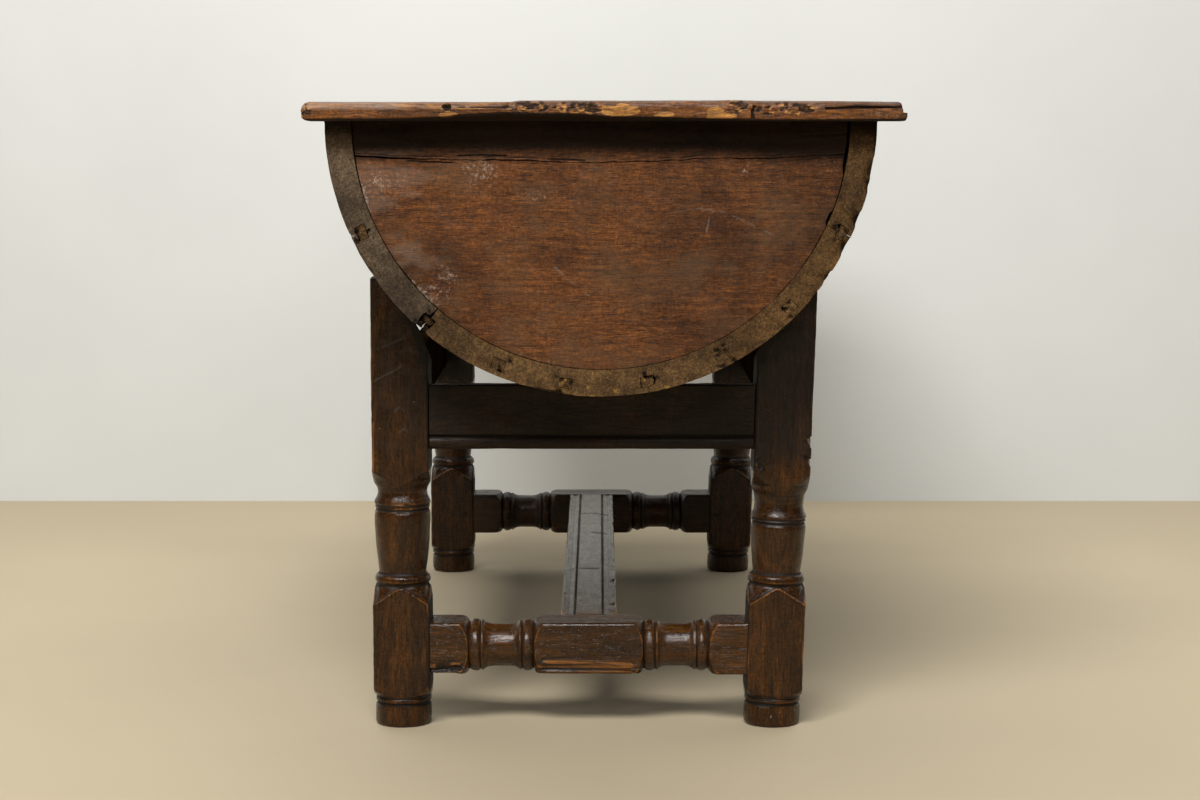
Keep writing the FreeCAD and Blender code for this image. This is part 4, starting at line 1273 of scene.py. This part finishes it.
def lid_end(end):
    away = ENDS[end]
    width = LID_HALF_LENGTH - CLAMP_SHOULDER
    outs = [0.2, 12, 24, 36, 46, 54, 61, 67, 72, 76, 79.5, 82.5, 85, 87, 88.6, 89.6, width]
    bm = section_grid(outs, spaced(RIM, TABLE_HEIGHT, 15))
    draw_out(bm, stations(-LID_HALF_WIDTH, LID_HALF_WIDTH, 1.6, 0.8, 9.0))
    for vert in bm.verts:
        out = vert.co.x
        across = vert.co.y - LID_HALF_WIDTH
        from_side = LID_HALF_WIDTH - abs(across)
        part = rounded_edge(width - out, LID_ROUNDING) * rounded_edge(from_side, LID_ROUNDING)
        under_part = rounded_edge(width - out, LID_ROUNDING / 2)
        under_part *= rounded_edge(from_side, LID_ROUNDING / 2 if across > 0 else LID_ROUNDING)
        worn = ease(width - WORN_END, width, out)
        top = LID_THICK / 2 * part - lid_sag(across, away * (CLAMP_SHOULDER + out))
        under = -LID_THICK / 2 * under_part + worn * np.interp(across, *zip(*UNDER_LOSS))
        height = (vert.co.z - RIM) / LID_THICK
        vert.co.z = LID_MIDDLE + under + (top - under) * height
        if across > LID_HALF_WIDTH - 12 and height > 0.6:
            vert.co.y -= 5.0 * (across - LID_HALF_WIDTH + 12) / 12
        if across < 12 - LID_HALF_WIDTH:
            vert.co.y += 1.8 * (12 - LID_HALF_WIDTH - across) / 12
    move(bm, on_plan((0, 1, 0, -LID_HALF_WIDTH), (away, 0, 0, away * CLAMP_SHOULDER)))

    def marks(points):
        """The end of the lid is worn wavy, worm-eaten in places, cracked, and split at its right-hand end,
        with painted shade under its overhang and on its top rounding, and a painted sheen with some wear
        along its upper left.
        """
        x, y, z = points.T
        face = away * LID_HALF_LENGTH
        edge = ease(LID_HALF_LENGTH - 26, LID_HALF_LENGTH - 4, away * y)
        above = ease(TABLE_HEIGHT - 9, TABLE_HEIGHT - 2, z)
        wavy = 0.2 + 0.6 * rough(points, (50, 60, 60)) + 0.4 * drift(points, (14, 30, 30))
        wavy = np.clip(wavy, 0, 2)
        eaten = np.zeros(len(points))
        pale = np.zeros(len(points))
        crack = np.zeros(len(points))
        for spot, height, reach in EATEN_SPOTS:
            eaten = np.maximum(eaten, patch(points, (spot, face, height), (reach, 30, 9)) ** 0.5)
        for spot, height, reach, rise in PALE_SPOTS:
            pale = np.maximum(pale, patch(points, (spot, face, height), (reach, 30, rise)) ** 0.5)
        for reach, line in LID_CRACKS:
            crack = np.maximum(crack, ease(reach, 0.5, off_line(points, line)))
        pale = ease(0.45, 0.7, pale + 0.5 * rough(points, (11, 9, 6)))
        pitted = eaten * ease(-0.1, 0.7, rough(points, (5, 5, 3.4)))
        flecks = eaten * ease(-0.15, 0.5, rough(points + 400.0, (3.6, 3.6, 2.8)))
        hole = patch(points, (-176, face, 752.5), (5, 12, 4.5)) ** 0.5
        uneven_face = above * wavy + 1.6 * pitted + 3.0 * crack + 0.4 * rough(points, (24, 9, 7))
        # Lighter wear with a painted sheen along the upper left of the lid's end.
        worn_and_sheen_left = 0.36 * ease(-90, -150, x) * ease(RIM + 10, RIM + 15, z)
        raised = np.interp(x, *zip(*UNDER_LOSS)) * ease(LID_HALF_LENGTH - WORN_END, LID_HALF_LENGTH, away * y)
        # Painted shade on the underside of the overhang.
        overhang = ease(LID_HALF_LENGTH - 84, LID_HALF_LENGTH - 72, away * y)
        under = 0.85 * overhang * ease(3.4, 1.0, z - RIM - raised)
        dark = edge * (0.26 * pitted + 0.7 * crack + 0.16 * ease(230, 290, x))
        return {
            "depth": edge * uneven_face + 6.0 * hole,
            "bare": edge * (0.62 * pale + 0.9 * flecks + worn_and_sheen_left),
            "scuff_and_painted_light": 0.3 * edge * (flecks + ease(285, 300, x)),
            # Painted shade under the overhang and on the top rounding, with real grime in pits, cracks and
            # the hole.
            "grime_and_shade": dark + hole + under + 0.16 * above,
            # A painted sheen along the upper left.
            "line": 2.4 * worn_and_sheen_left * ease(-0.6, 0.5, rough(points, (60, 20, 5))),
        }

    wear = {"bite": 0.8, "dents": 0.5, "rub": 0.35, "marks": marks, "firm": lies_on_rim}
    put(f"lid_end_{end}", bm, "lid", "lid_wood", lid_across, **wear)


def lid_batten(end):
    low = RIM - BATTEN_THICK
    bm = section_grid(spaced(-1, 1, 90), spaced(0, 1, 5))
    for vert in bm.verts:
        half = BATTEN_HALF - BATTEN_SPLAY * (1 - vert.co.z)
        vert.co = (TROUGH_ACROSS + half * vert.co.x, 0, low + BATTEN_THICK * vert.co.z)
    draw_out(bm, stations(-BATTEN_WIDTH / 2, BATTEN_WIDTH / 2, 6.0))
    move(bm, Matrix.Translation((0, ENDS[end] * BATTEN_ALONG - BATTEN_WIDTH / 2, 0)))
    put(f"lid_batten_{end}", bm, "lid", "lid_wood", lid_across, bite=1.0, dents=0.4)


def lid_pegs():
    end_places = []
    batten_places = []
    for (left, right), away in product(zip(PLANK_EDGES, PLANK_EDGES[1:]), ENDS.values()):
        middle = (left + right) / 2
        rows = (
            (end_places, CLAMP_SHOULDER + 9.0, RIM),
            (batten_places, BATTEN_ALONG, RIM - BATTEN_THICK),
        )
        for places, along, under in rows:
            top = TABLE_HEIGHT - 0.6 - lid_sag(middle, away * along)
            places.append((Vector((middle, away * along, top)), Vector((0, 0, 1))))
            places.append((Vector((middle, away * along, under)), Vector((0, 0, -1))))
    pegs("lid_end_pegs", "lid", lid_across, LID_PEG_RADIUS, end_places)
    pegs("batten_pegs", "lid", lid_across, LID_PEG_RADIUS, batten_places)


for end in ENDS:
    for side in SIDES:
        leg(side, end)
    end_stretcher(end)
    end_rail(end)
    end_board(end)
    lid_end(end)
    lid_batten(end)
for side in SIDES:
    side_rail(side)
centre_stretcher()
stand_pegs()
for number in range(1, len(STAVE_EDGES)):
    stave(number)
stave_tongues()
stave_nails()
for place, left, right in zip(("left", "middle", "right"), PLANK_EDGES, PLANK_EDGES[1:]):
    lid_plank(f"lid_plank_{place}", left, right)
lid_pegs()


# Studio


FLOOR_COLOUR = (0.43, 0.355, 0.235)
WALL_COLOUR = (0.65, 0.655, 0.63)
WALL_BEHIND = 1.35
BACKDROP_HALF = 9.0
SKY_COLOUR = (0.92, 0.95, 1.0, 1.0)
SKY_STRENGTH = 0.06
# Place, target, width, height, watts
LAMPS = {
    "key": ((-0.7, -3.5, 3.4), (0, -0.8, 0.3), 2.0, 1.2, 240.0),
    "fill": ((0.5, -3.7, 1.9), (0, -0.6, 0.3), 0.6, 0.5, 15.0),
    "wall_wash": ((0.0, 0.2, 3.2), (0, WALL_BEHIND, 0.8), 3.0, 1.2, 78.0),
}
CAMERA_PLACE = (-0.004, -3.78, 0.7384)
CAMERA_DIP = 6.02
CAMERA_LENS = 79.86


def plain_finish(name, colour):
    finish = Finish(name)
    tint = finish.step(finish.noise(1.3, 4.0), 0.3, 0.7, 0.94, 1.0)
    finish.feed(finish.shader.inputs["Base Color"], finish.shaded(opaque(colour), tint))
    finish.shader.inputs["Roughness"].default_value = 0.75
    return finish


def backdrop(name, finish, upright):
    """A plain square, flat on the floor or upright as the wall behind the table."""
    bm = bmesh.new()
    bmesh.ops.create_grid(bm, x_segments=1, y_segments=1, size=BACKDROP_HALF)
    if upright:
        turn = Matrix.Rotation(math.radians(90), 3, "X")
        bmesh.ops.rotate(bm, verts=bm.verts, cent=(0, 0, 0), matrix=turn)
        bmesh.ops.translate(bm, verts=bm.verts, vec=(0, WALL_BEHIND, BACKDROP_HALF))
    mesh = bpy.data.meshes.new(name)
    bm.to_mesh(mesh)
    bm.free()
    mesh.materials.append(finish.material)
    sheet = bpy.data.objects.new(name, mesh)
    bpy.context.scene.collection.objects.link(sheet)
    return sheet


def studio():
    scene = bpy.context.scene
    scene.view_settings.view_transform = "Standard"
    wall_finish = plain_finish("wall", WALL_COLOUR)
    see_through = wall_finish.node("BsdfTransparent").outputs[0]
    behind = wall_finish.node("NewGeometry").outputs["Backfacing"]
    sides = {0: behind, 1: wall_finish.shader.outputs[0], 2: see_through}
    shown = wall_finish.node("MixShader", sides).outputs[0]
    wall_finish.feed(wall_finish.tree.nodes["Material Output"].inputs["Surface"], shown)
    floor = backdrop("floor", plain_finish("floor", FLOOR_COLOUR), upright=False)
    wall = backdrop("wall", wall_finish, upright=True)

    scene.world = bpy.data.worlds.new("studio")
    scene.world.use_nodes = True
    sky = scene.world.node_tree.nodes["Background"]
    sky.inputs["Color"].default_value = SKY_COLOUR
    sky.inputs["Strength"].default_value = SKY_STRENGTH
    for name, (place, target, width, height, power) in LAMPS.items():
        lamp = bpy.data.lights.new(name, "AREA")
        lamp.shape = "RECTANGLE"
        lamp.size = width
        lamp.size_y = height
        lamp.energy = power
        lamp_object = bpy.data.objects.new(name, lamp)
        lamp_object.location = place
        aim = Vector(target) - Vector(place)
        lamp_object.rotation_euler = aim.to_track_quat("-Z", "Y").to_euler()
        scene.collection.objects.link(lamp_object)

    camera = bpy.data.cameras.new("camera")
    camera.sensor_width = 36.0
    camera.lens = CAMERA_LENS
    camera_object = bpy.data.objects.new("camera", camera)
    camera_object.location = CAMERA_PLACE
    camera_object.rotation_euler = (math.radians(90 - CAMERA_DIP), 0, 0)
    scene.collection.objects.link(camera_object)
    scene.camera = camera_object


studio()
